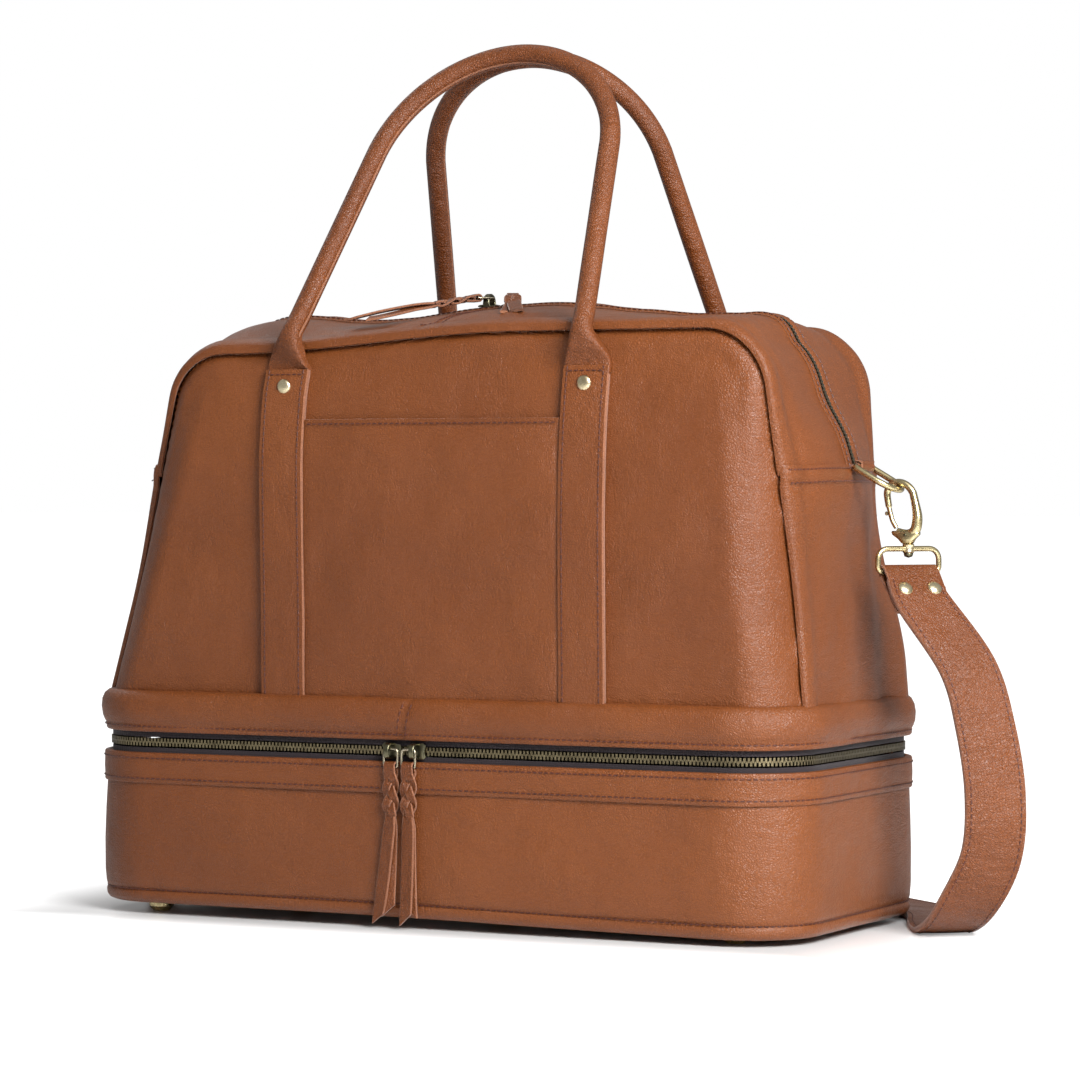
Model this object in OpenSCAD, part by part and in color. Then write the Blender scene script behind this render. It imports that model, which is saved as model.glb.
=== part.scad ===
// Weekender bag with a separate shoe compartment.
// X runs along the width, -Y is the front, +Z is up and z = 0 is the floor.

/* [Body] */
// Width of the base
body_w = 500; // [420:5:580]
// Depth of the base, front to back
body_d = 230; // [190:5:270]
// Radius of the upright corners of the base
corner_r = 50; // [30:2:60]
// Height of the top zip above the floor
ridge_z = 390; // [330:5:450]
// Height of the front panel's top edge
edge_z = 366; // [310:2:420]
// Thickness of the leather panels
leather_t = 3; // [2:0.5:4]

/* [Shoe compartment] */
// Height of the middle of the compartment zip
zip_z = 110; // [80:2:150]
// Width of the open gap that shows the zip tape
zip_gap = 14; // [12:1:20]
// Height of the puffed band above the zip
band_h = 25; // [15:1:40]
// Height of the strip below the zip
strip_h = 19; // [12:1:30]

/* [Handles] */
// Spacing of the handle straps, centre to centre
handle_span = 210; // [160:5:260]
// Width of the flat handle straps
handle_strap_w = 31; // [24:1:40]
// Height of the handles above their roots
handle_h = 198; // [150:2:230]
// Diameter of the rolled handles
handle_d = 13; // [12:1:18]

/* [Shoulder strap] */
// Width of the shoulder strap
strap_w = 38; // [30:1:50]
// Thickness of the shoulder strap
strap_t = 3.6; // [2.5:0.1:5]
// Diameter of the D-ring wire
d_wire = 4; // [3:0.5:5]

/* [Hidden] */
$fn = 96;

// Gap between pieces that move past each other
gap = 0.3;
// Height of the feet
foot_h = 7;
// Distance of the corner feet from the base's ends, and from its front and back
foot_in_x = 47;
foot_in_y = 26;
// Bottom and top of the zip gap
gap_lo = zip_z - zip_gap / 2;
gap_hi = zip_z + zip_gap / 2;
// Top of the band, where the panels start
panel_z = gap_hi + band_h;
// Where the zip, its band and its strip stop at the back corners
zip_back_y = body_d / 2 - 14;
// Width of the bag just above the band, and at the front panel's top edge
low_half_w = body_w / 2 - 4;
high_half_w = body_w / 2 - 46;
// How far the soft top stands to the right of the base, at the front panel's top edge
top_shift = 22;
// Half depth of the panels, and of the front panel's top edge
panel_half_d = body_d / 2 - 7;
edge_half_d = body_d / 2 - 18;
// Height where the panels start to lean in towards the top
knee_z = edge_z - 41;
// Radius of the rounded upper corners seen from the front
top_corner_r = 42;
// Inward lean of the sides
side_lean = atan((low_half_w - high_half_w) / (edge_z - panel_z));
// Radius of the domed top seen from the side
dome_rise = ridge_z - edge_z;
dome_r = (edge_half_d * edge_half_d + dome_rise * dome_rise) / (2 * dome_rise);
// Seams between the panels and the gusset
seam_y = edge_half_d - 7;
// Top of the side panels, where the tabs and the ends of the top zip are
tab_z = 288;
// Zip chain: how far it sits in from the outside, its thickness and row width
chain_in = 2.3;
chain_t = 2.7;
row_w = 2.4;
tape_t = 0.8;
// Top zip opening
top_gap = 14;
// Front pocket
pocket_z = panel_z + 174;
pocket_gap = 4.6;
pocket_t = 1.7;
pocket_half_w = handle_span / 2 - handle_strap_w / 2 - 0.2;
// Handle straps and handles, which stand a little to the right of the middle
handle_x = 6;
handle_strap_t = 4.5;
pivot_y = panel_half_d + 8;
pivot_z = edge_z - 14;
rivet_z = 337;
apex_y = handle_d / 2 + 4;
handle_lean = atan((pivot_y - apex_y) / handle_h);
handle_len = handle_h / cos(handle_lean);
// Radius of the handles' arch
arch_r = 88;
// Rolled root of each handle leg, across the leg
root_r = handle_d / 2 - 0.8;
// Zip sliders
slider_l = 12;
slider_w = 10;
slide_pivot = 6.3;
low_slider_x = [-19, -1.4];
top_slider_x = [-10, 7];
// Leather pulls: their lengths, how the top ones lie, and their section
pull_len = 95;
top_pull_len = [84, 68];
top_yaw = [-37, 27];
top_bend = 12;
pull_w = 12;
pull_t = 2.6;
// D-rings: half width, reach from bar to far end, and how far they tip down
d_half_w = 13;
d_reach = 28;
d_drop = 30;
// Middle of the D-ring's far end, seen from the front
hook_z = 272;
hook_x_right = 274;
hook_x_left = -246;
// Snap hooks, and the rings below them that the strap hangs from
hook_wire = 4.4;
hook_in_r = 6.5;
ring_wire = 3.5;
ring_hi = hook_z - 36;
ring_lo = hook_z - 50;
ring_half_w = 21;
// How far the strap's face is turned about the upright axis at each ring
yaw_right = 50;
yaw_left = -78;
// How far each strap end leans out from the upright
lean_right = 25;
lean_left = 20;
// Folded strap ends: their length, and how far the strap's middle is outside the ring's bar
end_l = 30;
end_y = 2.7;

// ---------------------------------------------------------------- outlines

// Rounded rectangle centred on the origin
module rounded_rect(w, d, r) {
    square([w - 2 * r, d], center = true);
    square([w, d - 2 * r], center = true);
    for (sx = [-1, 1], sy = [-1, 1])
        translate([sx * (w / 2 - r), sy * (d / 2 - r)]) circle(r);
}

// The base's outline, drawn in by a distance
module base_outline(inset) {
    rounded_rect(body_w - 2 * inset, body_d - 2 * inset, corner_r - inset);
}

// Wall that follows the base's outline
module ring_wall(inset, t, z0, z1) {
    translate([0, 0, z0]) linear_extrude(z1 - z0) difference() {
        base_outline(inset);
        base_outline(inset + t);
    }
}

// The same wall along the front and both sides only
module u_wall(inset, t, z0, z1) {
    intersection() {
        ring_wall(inset, t, z0, z1);
        translate([-body_w, -body_d, 0]) cube([2 * body_w, body_d + zip_back_y, ridge_z]);
    }
}

// Half width of the sides at a height
function side_x(z) = low_half_w - (z - panel_z) * tan(side_lean);

// Bag seen from the front, drawn in by a distance
module front_outline(inset) {
    r = top_corner_r - inset;
    cz = ridge_z - inset - r;
    cx = side_x(cz) - inset / cos(side_lean) - r / cos(side_lean);
    foot_x = side_x(panel_z) - inset / cos(side_lean);
    polygon([
        [-foot_x, panel_z],
        [foot_x, panel_z],
        [cx + r * cos(side_lean), cz + r * sin(side_lean)],
        [cx, ridge_z - inset],
        [-cx, ridge_z - inset],
        [-cx - r * cos(side_lean), cz + r * sin(side_lean)]
    ]);
    for (s = [-1, 1]) translate([s * cx, cz]) circle(r);
}

// Bag seen from the side, drawn in by a distance
module side_outline(inset) {
    lean = (panel_half_d - edge_half_d) / (edge_z - knee_z);
    top_y = panel_half_d - lean * (ridge_z + 10 - knee_z);
    intersection() {
        translate([0, ridge_z - dome_r]) circle(dome_r - inset);
        polygon([
            [-panel_half_d + inset, panel_z],
            [panel_half_d - inset, panel_z],
            [panel_half_d - inset, knee_z],
            [top_y - inset, ridge_z + 10],
            [-top_y + inset, ridge_z + 10],
            [-panel_half_d + inset, knee_z]
        ]);
    }
}

// Closed form of the upper bag, drawn in by a distance and leaning to the right
module body_form(inset) {
    lean = top_shift / (edge_z - panel_z);
    multmatrix([[1, 0, lean, -lean * panel_z], [0, 1, 0, 0], [0, 0, 1, 0]]) intersection() {
        rotate([90, 0, 0]) linear_extrude(2 * body_d, center = true) front_outline(inset);
        rotate([90, 0, 90]) linear_extrude(2 * body_w, center = true) side_outline(inset);
        translate([0, 0, panel_z]) linear_extrude(ridge_z)
            rounded_rect(body_w - 2 * inset, 2 * panel_half_d - 2 * inset, corner_r - inset);
    }
}

// Skin of the upper bag between two depths
module body_skin(inset, t) {
    difference() {
        body_form(inset);
        body_form(inset + t);
    }
}

// Box given by its two corners
module span(lo, hi) {
    translate(lo) cube(hi - lo);
}

// ---------------------------------------------------------- shoe compartment

module foot_at(x, y) {
    translate([x, y, 0]) {
        cylinder(h = 3, r1 = 5.5, r2 = 8);
        translate([0, 0, 3]) cylinder(h = foot_h - 3, r = 8);
        cylinder(h = foot_h + 6, r = 2);
    }
}

foot_x = body_w / 2 - foot_in_x;
foot_y = body_d / 2 - foot_in_y;
foot_spots = [[0, 0], [-foot_x, -foot_y], [foot_x, -foot_y], [-foot_x, foot_y], [foot_x, foot_y]];

module foot_holes() {
    for (p = foot_spots) translate([p[0], p[1], 0]) cylinder(h = 30, r = 2.1);
}

module feet() {
    color("darkgoldenrod") for (p = foot_spots) foot_at(p[0], p[1]);
}

module base_floor() {
    color("sienna") difference() {
        translate([0, 0, foot_h]) linear_extrude(leather_t) base_outline(1);
        foot_holes();
    }
}

module base_wall() {
    color("peru") {
        ring_wall(0, leather_t, foot_h + leather_t, gap_lo);
        intersection() {
            ring_wall(0, leather_t, gap_lo, zip_z - gap);
            span([-body_w, zip_back_y, 0], [body_w, body_d, ridge_z]);
        }
    }
}

module base_board() {
    color("dimgray") difference() {
        translate([0, 0, foot_h + leather_t + 0.2]) linear_extrude(leather_t) base_outline(4);
        foot_holes();
    }
}

module base_lining() {
    floor_z = foot_h + 2 * leather_t + 0.4;
    color("tan") {
        translate([0, 0, floor_z]) linear_extrude(1) base_outline(4.3);
        ring_wall(4.3, 1, floor_z + 1, gap_lo - 1);
    }
}

module zip_strip() {
    color("chocolate") u_wall(-1.6, 1.6, gap_lo - strip_h, gap_lo + 0.4);
}

module low_tape_base() {
    color("indigo") u_wall(3.2, tape_t, gap_lo - 5, zip_z - 1 - row_w);
}

module low_teeth_base() {
    color("darkkhaki") u_wall(chain_in, chain_t, zip_z - 1 - row_w, zip_z - 1);
}

// ------------------------------------------------------------------ upper bag

module upper_band() {
    color("peru") {
        ring_wall(0, 7, gap_hi, panel_z);
        intersection() {
            ring_wall(0, leather_t, zip_z + gap, gap_hi);
            span([-body_w, zip_back_y, 0], [body_w, body_d, ridge_z]);
        }
    }
}

module low_tape_upper() {
    color("indigo") u_wall(3.2, tape_t, zip_z + 1 + row_w, gap_hi);
}

module low_teeth_upper() {
    color("darkkhaki") u_wall(chain_in, chain_t, zip_z + 1, zip_z + 1 + row_w);
}

module divider_board() {
    color("dimgray") translate([0, 0, gap_hi + 2]) linear_extrude(4) base_outline(7.2);
}

module rivet_holes(side) {
    for (s = [-1, 1]) translate([handle_x + s * handle_span / 2, side * panel_half_d, rivet_z])
        rotate([90, 0, 0]) cylinder(h = 40, r = 1.6, center = true);
}

module panel(side) {
    y0 = side < 0 ? -body_d : seam_y;
    y1 = side < 0 ? -seam_y : body_d;
    color("sienna") difference() {
        intersection() {
            body_skin(0, leather_t);
            span([-body_w, y0, panel_z], [body_w, y1, ridge_z + 1]);
        }
        rivet_holes(side);
    }
}

module front_panel() {
    panel(-1);
}

module back_panel() {
    panel(1);
}

module side_panel(side) {
    x0 = side < 0 ? -body_w : 0;
    color("peru") intersection() {
        body_skin(0, leather_t);
        span([x0, -seam_y, panel_z], [x0 + body_w, seam_y, tab_z]);
    }
}

module side_panel_left() {
    side_panel(-1);
}

module side_panel_right() {
    side_panel(1);
}

// Slice of the skin beside the top zip, above the tabs
module zip_slice(inset, t, side, y0, y1) {
    lo_y = side < 0 ? -y1 : y0;
    intersection() {
        body_skin(inset, t);
        span([-body_w, lo_y, tab_z], [body_w, lo_y + y1 - y0, ridge_z + 1]);
    }
}

module gusset_front() {
    color("peru") zip_slice(0, leather_t, -1, top_gap / 2, seam_y);
}

module gusset_back() {
    color("peru") zip_slice(0, leather_t, 1, top_gap / 2, seam_y);
}

module top_tape_front() {
    color("indigo") zip_slice(1.6, tape_t, -1, 1 + row_w, top_gap / 2);
}

module top_tape_back() {
    color("indigo") zip_slice(1.6, tape_t, 1, 1 + row_w, top_gap / 2);
}

module top_teeth_front() {
    color("darkkhaki") zip_slice(0.9, chain_t, -1, 1, 1 + row_w);
}

module top_teeth_back() {
    color("darkkhaki") zip_slice(0.9, chain_t, 1, 1, 1 + row_w);
}

module main_lining() {
    color("tan") difference() {
        body_skin(leather_t + 0.3, 1);
        span([-body_w, -9, tab_z], [body_w, 9, ridge_z + 1]);
        rivet_holes(-1);
        rivet_holes(1);
    }
}

module front_pocket() {
    y_out = -panel_half_d - pocket_gap;
    color("chocolate") translate([handle_x, 0, 0]) {
        span([-pocket_half_w, y_out - pocket_t, panel_z], [pocket_half_w, y_out, pocket_z]);
        for (s = [-1, 1]) translate([s * (pocket_half_w - 1), 0, 0])
            span([-1, y_out, panel_z], [1, -panel_half_d, pocket_z]);
    }
}

module handle_strap(sx, sy) {
    top_z = pivot_z - 7.5;
    x = handle_x + sx * handle_span / 2;
    y = sy * (panel_half_d + handle_strap_t / 2);
    color("saddlebrown") difference() {
        translate([x, y, (panel_z + top_z) / 2])
            cube([handle_strap_w, handle_strap_t, top_z - panel_z], center = true);
        rivet_holes(sy);
    }
}

module strap_front_left() {
    handle_strap(-1, -1);
}

module strap_front_right() {
    handle_strap(1, -1);
}

module strap_back_left() {
    handle_strap(-1, 1);
}

module strap_back_right() {
    handle_strap(1, 1);
}

// Rivet along +Y with its domed head at the origin's -Y side
module rivet(head_r, grip) {
    rotate([90, 0, 0]) {
        cylinder(h = 1.2, r = head_r);
        translate([0, 0, 1.2]) cylinder(h = 0.8, r1 = head_r, r2 = head_r * 0.7);
        translate([0, 0, -grip]) cylinder(h = grip, r = 1.4);
        translate([0, 0, -grip - 1]) cylinder(h = 1, r = head_r * 0.8);
    }
}

module handle_rivets() {
    y = panel_half_d + handle_strap_t;
    color("darkgoldenrod") for (sx = [-1, 1], sy = [-1, 1])
        translate([handle_x + sx * handle_span / 2, sy * y, rivet_z])
            rotate([0, 0, sy < 0 ? 0 : 180]) rivet(4.8, 14);
}

// ---------------------------------------------------------------- D-ring tabs

function bar_x(side, x) = x - side * d_reach * cos(d_drop);
bar_z = hook_z + d_reach * sin(d_drop);

module tab(side, x) {
    loop_in = d_wire / 2 + gap;
    loop_out = loop_in + 2;
    len = 2 * d_half_w - d_wire - 2;
    bx = bar_x(side, x);
    color("saddlebrown") difference() {
        union() {
            translate([bx, 0, bar_z]) rotate([90, 0, 0]) cylinder(h = len, r = loop_out, center = true);
            translate([(bx + side * 200) / 2, 0, bar_z])
                cube([abs(bx - side * 200), len, 4], center = true);
        }
        translate([bx, 0, bar_z]) rotate([90, 0, 0]) cylinder(h = 60, r = loop_in, center = true);
        body_form(0);
    }
}

module tab_left() {
    tab(-1, hook_x_left);
}

module tab_right() {
    tab(1, hook_x_right);
}

// D-ring lying in the XY plane: bar at x = 0, far end at x = d_reach
module d_ring_flat() {
    r = d_wire / 2;
    arc_x = d_reach - d_half_w;
    rotate([90, 0, 0]) cylinder(h = 2 * d_half_w, r = r, center = true);
    for (s = [-1, 1]) translate([0, s * d_half_w, 0]) {
        sphere(r);
        rotate([0, 90, 0]) cylinder(h = arc_x, r = r);
    }
    translate([arc_x, 0, 0]) rotate([0, 0, -90]) rotate_extrude(angle = 180)
        translate([d_half_w, 0]) circle(r);
}

module d_ring(side, x) {
    color("goldenrod") translate([bar_x(side, x), 0, bar_z])
        rotate([0, 0, side < 0 ? 180 : 0]) rotate([0, d_drop, 0]) d_ring_flat();
}

module d_ring_left() {
    d_ring(-1, hook_x_left);
}

module d_ring_right() {
    d_ring(1, hook_x_right);
}

// -------------------------------------------------------------------- handles

// Round bar along one handle, standing on its pivot in the XZ plane
module handle_bar(d, start) {
    leg_x = handle_span / 2;
    arch_z = handle_len - arch_r;
    reach = sqrt(leg_x * leg_x + arch_z * arch_z);
    turn = acos(arch_r / reach) - atan(arch_z / leg_x);
    leg_l = sqrt(reach * reach - arch_r * arch_r);
    translate([0, 0, arch_z]) rotate([90, 0, 0]) {
        rotate([0, 0, turn])
            rotate_extrude(angle = 180 - 2 * turn) translate([arch_r, 0]) circle(d = d);
        for (s = [0, 1]) mirror([s, 0, 0]) rotate([0, 0, turn]) translate([arch_r, 0, 0])
            rotate([90, 0, 0]) cylinder(h = leg_l - start, d = d);
    }
}

module handle_place(side) {
    translate([handle_x, side * pivot_y, pivot_z]) rotate([side * handle_lean, 0, 0]) children();
}

module handle_cover(side) {
    color("saddlebrown") handle_place(side) difference() {
        union() {
            handle_bar(handle_d, 0);
            for (s = [-1, 1]) translate([s * handle_span / 2, 0, 0])
                rotate([0, 90, 0]) cylinder(h = 26, r = root_r, center = true);
        }
        handle_bar(handle_d - 6, 12);
    }
}

module handle_core(side) {
    color("khaki") handle_place(side) handle_bar(handle_d - 6.6, 14);
}

module handle_front_cover() {
    handle_cover(-1);
}

module handle_front_core() {
    handle_core(-1);
}

module handle_back_cover() {
    handle_cover(1);
}

module handle_back_core() {
    handle_core(1);
}

// ---------------------------------------------------------------- zip sliders

// Slider on a chain along X whose outer face is z = 0
module slider_flat() {
    span([-slider_l / 2, -slider_w / 2, 0.4], [slider_l / 2, slider_w / 2, 1.6]);
    span([-slider_l / 2, -slider_w / 2, -chain_t - 1.5], [slider_l / 2, 0.8, -chain_t - 0.3]);
    translate([0, 0, -chain_t - 0.5]) cylinder(h = chain_t + 1.5, r = 0.7);
    for (s = [-1, 1]) translate([0, s * 3.8, 0])
        span([-1.2, -0.6, 1.6], [1.2, 0.6, slide_pivot + 1.1]);
    span([-1.2, -4.4, slide_pivot + 1.1], [1.2, 4.4, slide_pivot + 2.2]);
}

// Wire ring turning on the slider's bridge, hanging towards -Y
module pull_ring_flat() {
    r = 0.7;
    translate([0, 0, slide_pivot]) for (y = [0, -9]) translate([0, y, 0]) {
        rotate([0, 90, 0]) cylinder(h = 11, r = r, center = true);
        for (s = [-1, 1]) translate([s * 5.5, 0, 0]) sphere(r);
    }
    for (s = [-1, 1]) translate([s * 5.5, 0, slide_pivot]) rotate([90, 0, 0]) cylinder(h = 9, r = r);
}

// Leather pull looped on the wire ring; its lower part bends down by an angle
module pull_flat(len, bend) {
    first = 30;
    translate([0, -9, slide_pivot]) {
        difference() {
            union() {
                rotate([0, 90, 0]) cylinder(h = 9, r = 2.1, center = true);
                span([-4.5, -4, -pull_t / 2], [4.5, 0, pull_t / 2]);
            }
            rotate([0, 90, 0]) cylinder(h = 20, r = 1, center = true);
        }
        span([-pull_w / 2, -first, -pull_t / 2], [pull_w / 2, -3, pull_t / 2]);
        translate([0, -first, 0]) rotate([bend, 0, 0])
            span([-pull_w / 2, first - len, -pull_t / 2], [pull_w / 2, 0.4, pull_t / 2]);
    }
}

module low_place(x) {
    translate([x, -body_d / 2 + chain_in, zip_z]) rotate([90, 0, 0]) children();
}

module top_place(x, yaw) {
    translate([x, 0, ridge_z - 0.9]) rotate([0, 0, yaw]) children();
}

module low_slider_left() {
    color("olive") low_place(low_slider_x[0]) slider_flat();
}

module low_slider_right() {
    color("olive") low_place(low_slider_x[1]) slider_flat();
}

module low_ring_left() {
    color("gold") low_place(low_slider_x[0]) pull_ring_flat();
}

module low_ring_right() {
    color("gold") low_place(low_slider_x[1]) pull_ring_flat();
}

module low_pull_left() {
    color("chocolate") low_place(low_slider_x[0]) pull_flat(pull_len, 0);
}

module low_pull_right() {
    color("chocolate") low_place(low_slider_x[1]) pull_flat(pull_len, 0);
}

module top_slider_left() {
    color("olive") top_place(top_slider_x[0], 0) slider_flat();
}

module top_slider_right() {
    color("olive") top_place(top_slider_x[1], 0) slider_flat();
}

module top_ring_left() {
    color("gold") top_place(top_slider_x[0], top_yaw[0]) pull_ring_flat();
}

module top_ring_right() {
    color("gold") top_place(top_slider_x[1], top_yaw[1]) pull_ring_flat();
}

module top_pull_left() {
    color("chocolate") top_place(top_slider_x[0], top_yaw[0]) pull_flat(top_pull_len[0], top_bend);
}

module top_pull_right() {
    color("chocolate") top_place(top_slider_x[1], top_yaw[1]) pull_flat(top_pull_len[1], top_bend);
}

// ----------------------------------------------------------------- snap hooks

hook_mid_r = hook_in_r + hook_wire / 2;
hook_top = hook_z + d_wire / 2 + gap + hook_wire / 2;
arc_z = hook_top - hook_mid_r;
block_z = ring_hi + 3;
block_top = block_z + 8.5;
nose_z = block_top + 14;

// Hook in the XZ plane with its gate on the side nearest the bag
module hook(side, x) {
    r = hook_wire / 2;
    color("goldenrod") translate([x, 0, 0]) {
        translate([0, 0, arc_z]) rotate([90, 0, 0]) rotate_extrude(angle = 180)
            translate([hook_mid_r, 0]) circle(r);
        translate([side * hook_mid_r, 0, block_top - 1]) cylinder(h = arc_z - block_top + 1, r = r);
        translate([-side * hook_mid_r, 0, nose_z]) cylinder(h = arc_z - nose_z, r = r);
        translate([0, 0, (block_z + block_top) / 2])
            cube([2 * hook_mid_r + hook_wire, 6, block_top - block_z], center = true);
        translate([0, 0, ring_hi - 4]) cylinder(h = block_z - ring_hi + 4.5, r = 1.4);
        translate([0, 0, ring_hi - 4.6]) sphere(2.4);
    }
}

module hook_left() {
    hook(-1, hook_x_left);
}

module hook_right() {
    hook(1, hook_x_right);
}

module gate(side, x) {
    color("gold") translate([x - side * hook_mid_r, 0, block_top + 0.8])
        cylinder(h = nose_z - block_top - 1.1, r = hook_wire / 2 - 0.4);
}

module gate_left() {
    gate(-1, hook_x_left);
}

module gate_right() {
    gate(1, hook_x_right);
}

// ------------------------------------------------------------- shoulder strap

// Rectangular wire ring, bars along X, with a bored boss for the swivel stud
module strap_ring_flat() {
    r = ring_wire / 2;
    difference() {
        union() {
            for (z = [ring_hi, ring_lo]) translate([0, 0, z]) {
                rotate([0, 90, 0]) cylinder(h = 2 * ring_half_w, r = r, center = true);
                for (s = [-1, 1]) translate([s * ring_half_w, 0, 0]) sphere(r);
            }
            for (s = [-1, 1]) translate([s * ring_half_w, 0, ring_lo])
                cylinder(h = ring_hi - ring_lo, r = r);
            translate([0, 0, ring_hi - 2.1]) cylinder(h = 4.2, r = 3.4);
        }
        translate([0, 0, ring_hi - 5]) cylinder(h = 10, r = 1.6);
    }
}

module strap_ring_left() {
    color("goldenrod") translate([hook_x_left, 0, 0]) rotate([0, 0, yaw_left]) strap_ring_flat();
}

module strap_ring_right() {
    color("goldenrod") translate([hook_x_right, 0, 0]) rotate([0, 0, yaw_right]) strap_ring_flat();
}

// Moves a strap end, drawn hanging down from its ring with -Y outwards, into place
module end_place(x, yaw, lean) {
    translate([x, 0, ring_lo]) rotate([0, 0, yaw]) rotate([-lean, 0, 0]) children();
}

module strap_end_flat() {
    bar = ring_wire / 2 + gap;
    difference() {
        union() {
            rotate([0, 90, 0]) cylinder(h = strap_w - 2, r = bar + 2.4, center = true);
            span([-strap_w / 2, -end_y - strap_t / 2, -end_l], [strap_w / 2, strap_t - 0.9, -2.5]);
        }
        rotate([0, 90, 0]) cylinder(h = 60, r = bar, center = true);
    }
}

strap_rivet_x = 10;
strap_rivet_z = -17;

module strap_rivets_flat(hole) {
    for (s = [-1, 1]) translate([s * strap_rivet_x, -end_y - strap_t / 2, strap_rivet_z])
        if (hole) rotate([90, 0, 0]) cylinder(h = 60, r = 1.6, center = true);
        else rivet(4.8, 2 * strap_t);
}

// Points and directions for the strap's path from the right ring round to the left
function turn_z(v, a) = [v[0] * cos(a) - v[1] * sin(a), v[0] * sin(a) + v[1] * cos(a), v[2]];
function end_point(x, yaw, lean, along) =
    [x, 0, ring_lo] + turn_z([0, -end_y * cos(lean) - along * sin(lean),
                              end_y * sin(lean) - along * cos(lean)], yaw);
function wide(a) = [cos(a), sin(a), 0];

lay = strap_t / 2;
back_y = body_d / 2 + 58;
path = [
    [end_point(hook_x_right, yaw_right, lean_right, end_l - 24), yaw_right],
    [end_point(hook_x_right, yaw_right, lean_right, end_l - 4), yaw_right],
    [[314, -10, 165], 46],
    [[331, -12, 128], 42],
    [[340, -13, 88], 38],
    [[336, -10, 50], 35],
    [[317, -5, 17], 34],
    [[297, 16, lay + 1], 36],
    [[279, 50, lay], 37],
    [[258, 97, lay], 40],
    [[218, 143, lay], 60],
    [[160, back_y - 3, lay], 82],
    [[0, back_y, lay], 90],
    [[-160, back_y - 3, lay], 98],
    [[-222, 143, lay], 122],
    [[-262, 102, lay], 140],
    [[-286, 74, lay + 1], 143],
    [[-298, 58, 18], 140],
    [[-300, 49, 48], 133],
    [[-292, 34, 92], 122],
    [[-279, 17, 138], 108],
    [end_point(hook_x_left, yaw_left, lean_left, end_l - 4), 180 + yaw_left],
    [end_point(hook_x_left, yaw_left, lean_left, end_l - 24), 180 + yaw_left]
];

// Smooth curve through the path's points
function blend4(a, b, c, d, t) =
    0.5 * (2 * b + (c - a) * t + (2 * a - 5 * b + 4 * c - d) * t * t
           + (3 * b - a - 3 * c + d) * t * t * t);
steps = 5;
spans = len(path) - 3;
function path_at(i, part) =
    let (k = min(floor(i / steps), spans - 1), t = i / steps - k)
    blend4(path[k][part], path[k + 1][part], path[k + 2][part], path[k + 3][part], t);
count = spans * steps;
function unit(v) = v / norm(v);
function section(i) =
    let (p = path_at(i, 0),
         ahead = path_at(min(i + 0.5, count), 0),
         behind = path_at(max(i - 0.5, 0), 0),
         along = unit(ahead - behind),
         w0 = wide(path_at(i, 1)),
         w = unit(w0 - (w0 * along) * along),
         n = cross(along, w),
         a = w * strap_w / 2,
         b = n * strap_t / 2)
    [p - a - b, p + a - b, p + a + b, p - a + b];

module ribbon() {
    points = [for (i = [0:count]) each section(i)];
    walls = [for (i = [0:count - 1], j = [0:3])
        let (a = 4 * i + j, b = 4 * i + (j + 1) % 4)
        each [[a, b + 4, b], [a, a + 4, b + 4]]];
    last = 4 * count;
    ends = [[0, 1, 2], [0, 2, 3], [last, last + 2, last + 1], [last, last + 3, last + 2]];
    polyhedron(points, concat(walls, ends), convexity = 10);
}

module shoulder_strap() {
    color("sienna") {
        ribbon();
        end_place(hook_x_right, yaw_right, lean_right) difference() {
            strap_end_flat();
            strap_rivets_flat(true);
        }
        end_place(hook_x_left, yaw_left, lean_left) difference() {
            strap_end_flat();
            strap_rivets_flat(true);
        }
    }
}

module strap_rivets() {
    color("darkgoldenrod") {
        end_place(hook_x_right, yaw_right, lean_right) strap_rivets_flat(false);
        end_place(hook_x_left, yaw_left, lean_left) strap_rivets_flat(false);
    }
}

base_floor();
base_wall();
base_board();
base_lining();
feet();
zip_strip();
low_tape_base();
low_teeth_base();
upper_band();
divider_board();
front_panel();
back_panel();
side_panel_left();
side_panel_right();
gusset_front();
gusset_back();
main_lining();
low_tape_upper();
low_teeth_upper();
top_tape_front();
top_tape_back();
top_teeth_front();
top_teeth_back();
front_pocket();
strap_front_left();
strap_front_right();
strap_back_left();
strap_back_right();
handle_rivets();
tab_left();
tab_right();
handle_front_cover();
handle_front_core();
handle_back_cover();
handle_back_core();
low_slider_left();
low_slider_right();
low_ring_left();
low_ring_right();
low_pull_left();
low_pull_right();
top_slider_left();
top_slider_right();
top_ring_left();
top_ring_right();
top_pull_left();
top_pull_right();
d_ring_left();
d_ring_right();
shoulder_strap();
strap_ring_left();
strap_ring_right();
strap_rivets();
hook_left();
hook_right();
gate_left();
gate_right();
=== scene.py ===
"""Looks of the weekender bag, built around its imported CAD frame.

Shapes are worked out in millimetres, in the frame's own axes, and become metres as each mesh is made.
"""

import math

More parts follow.
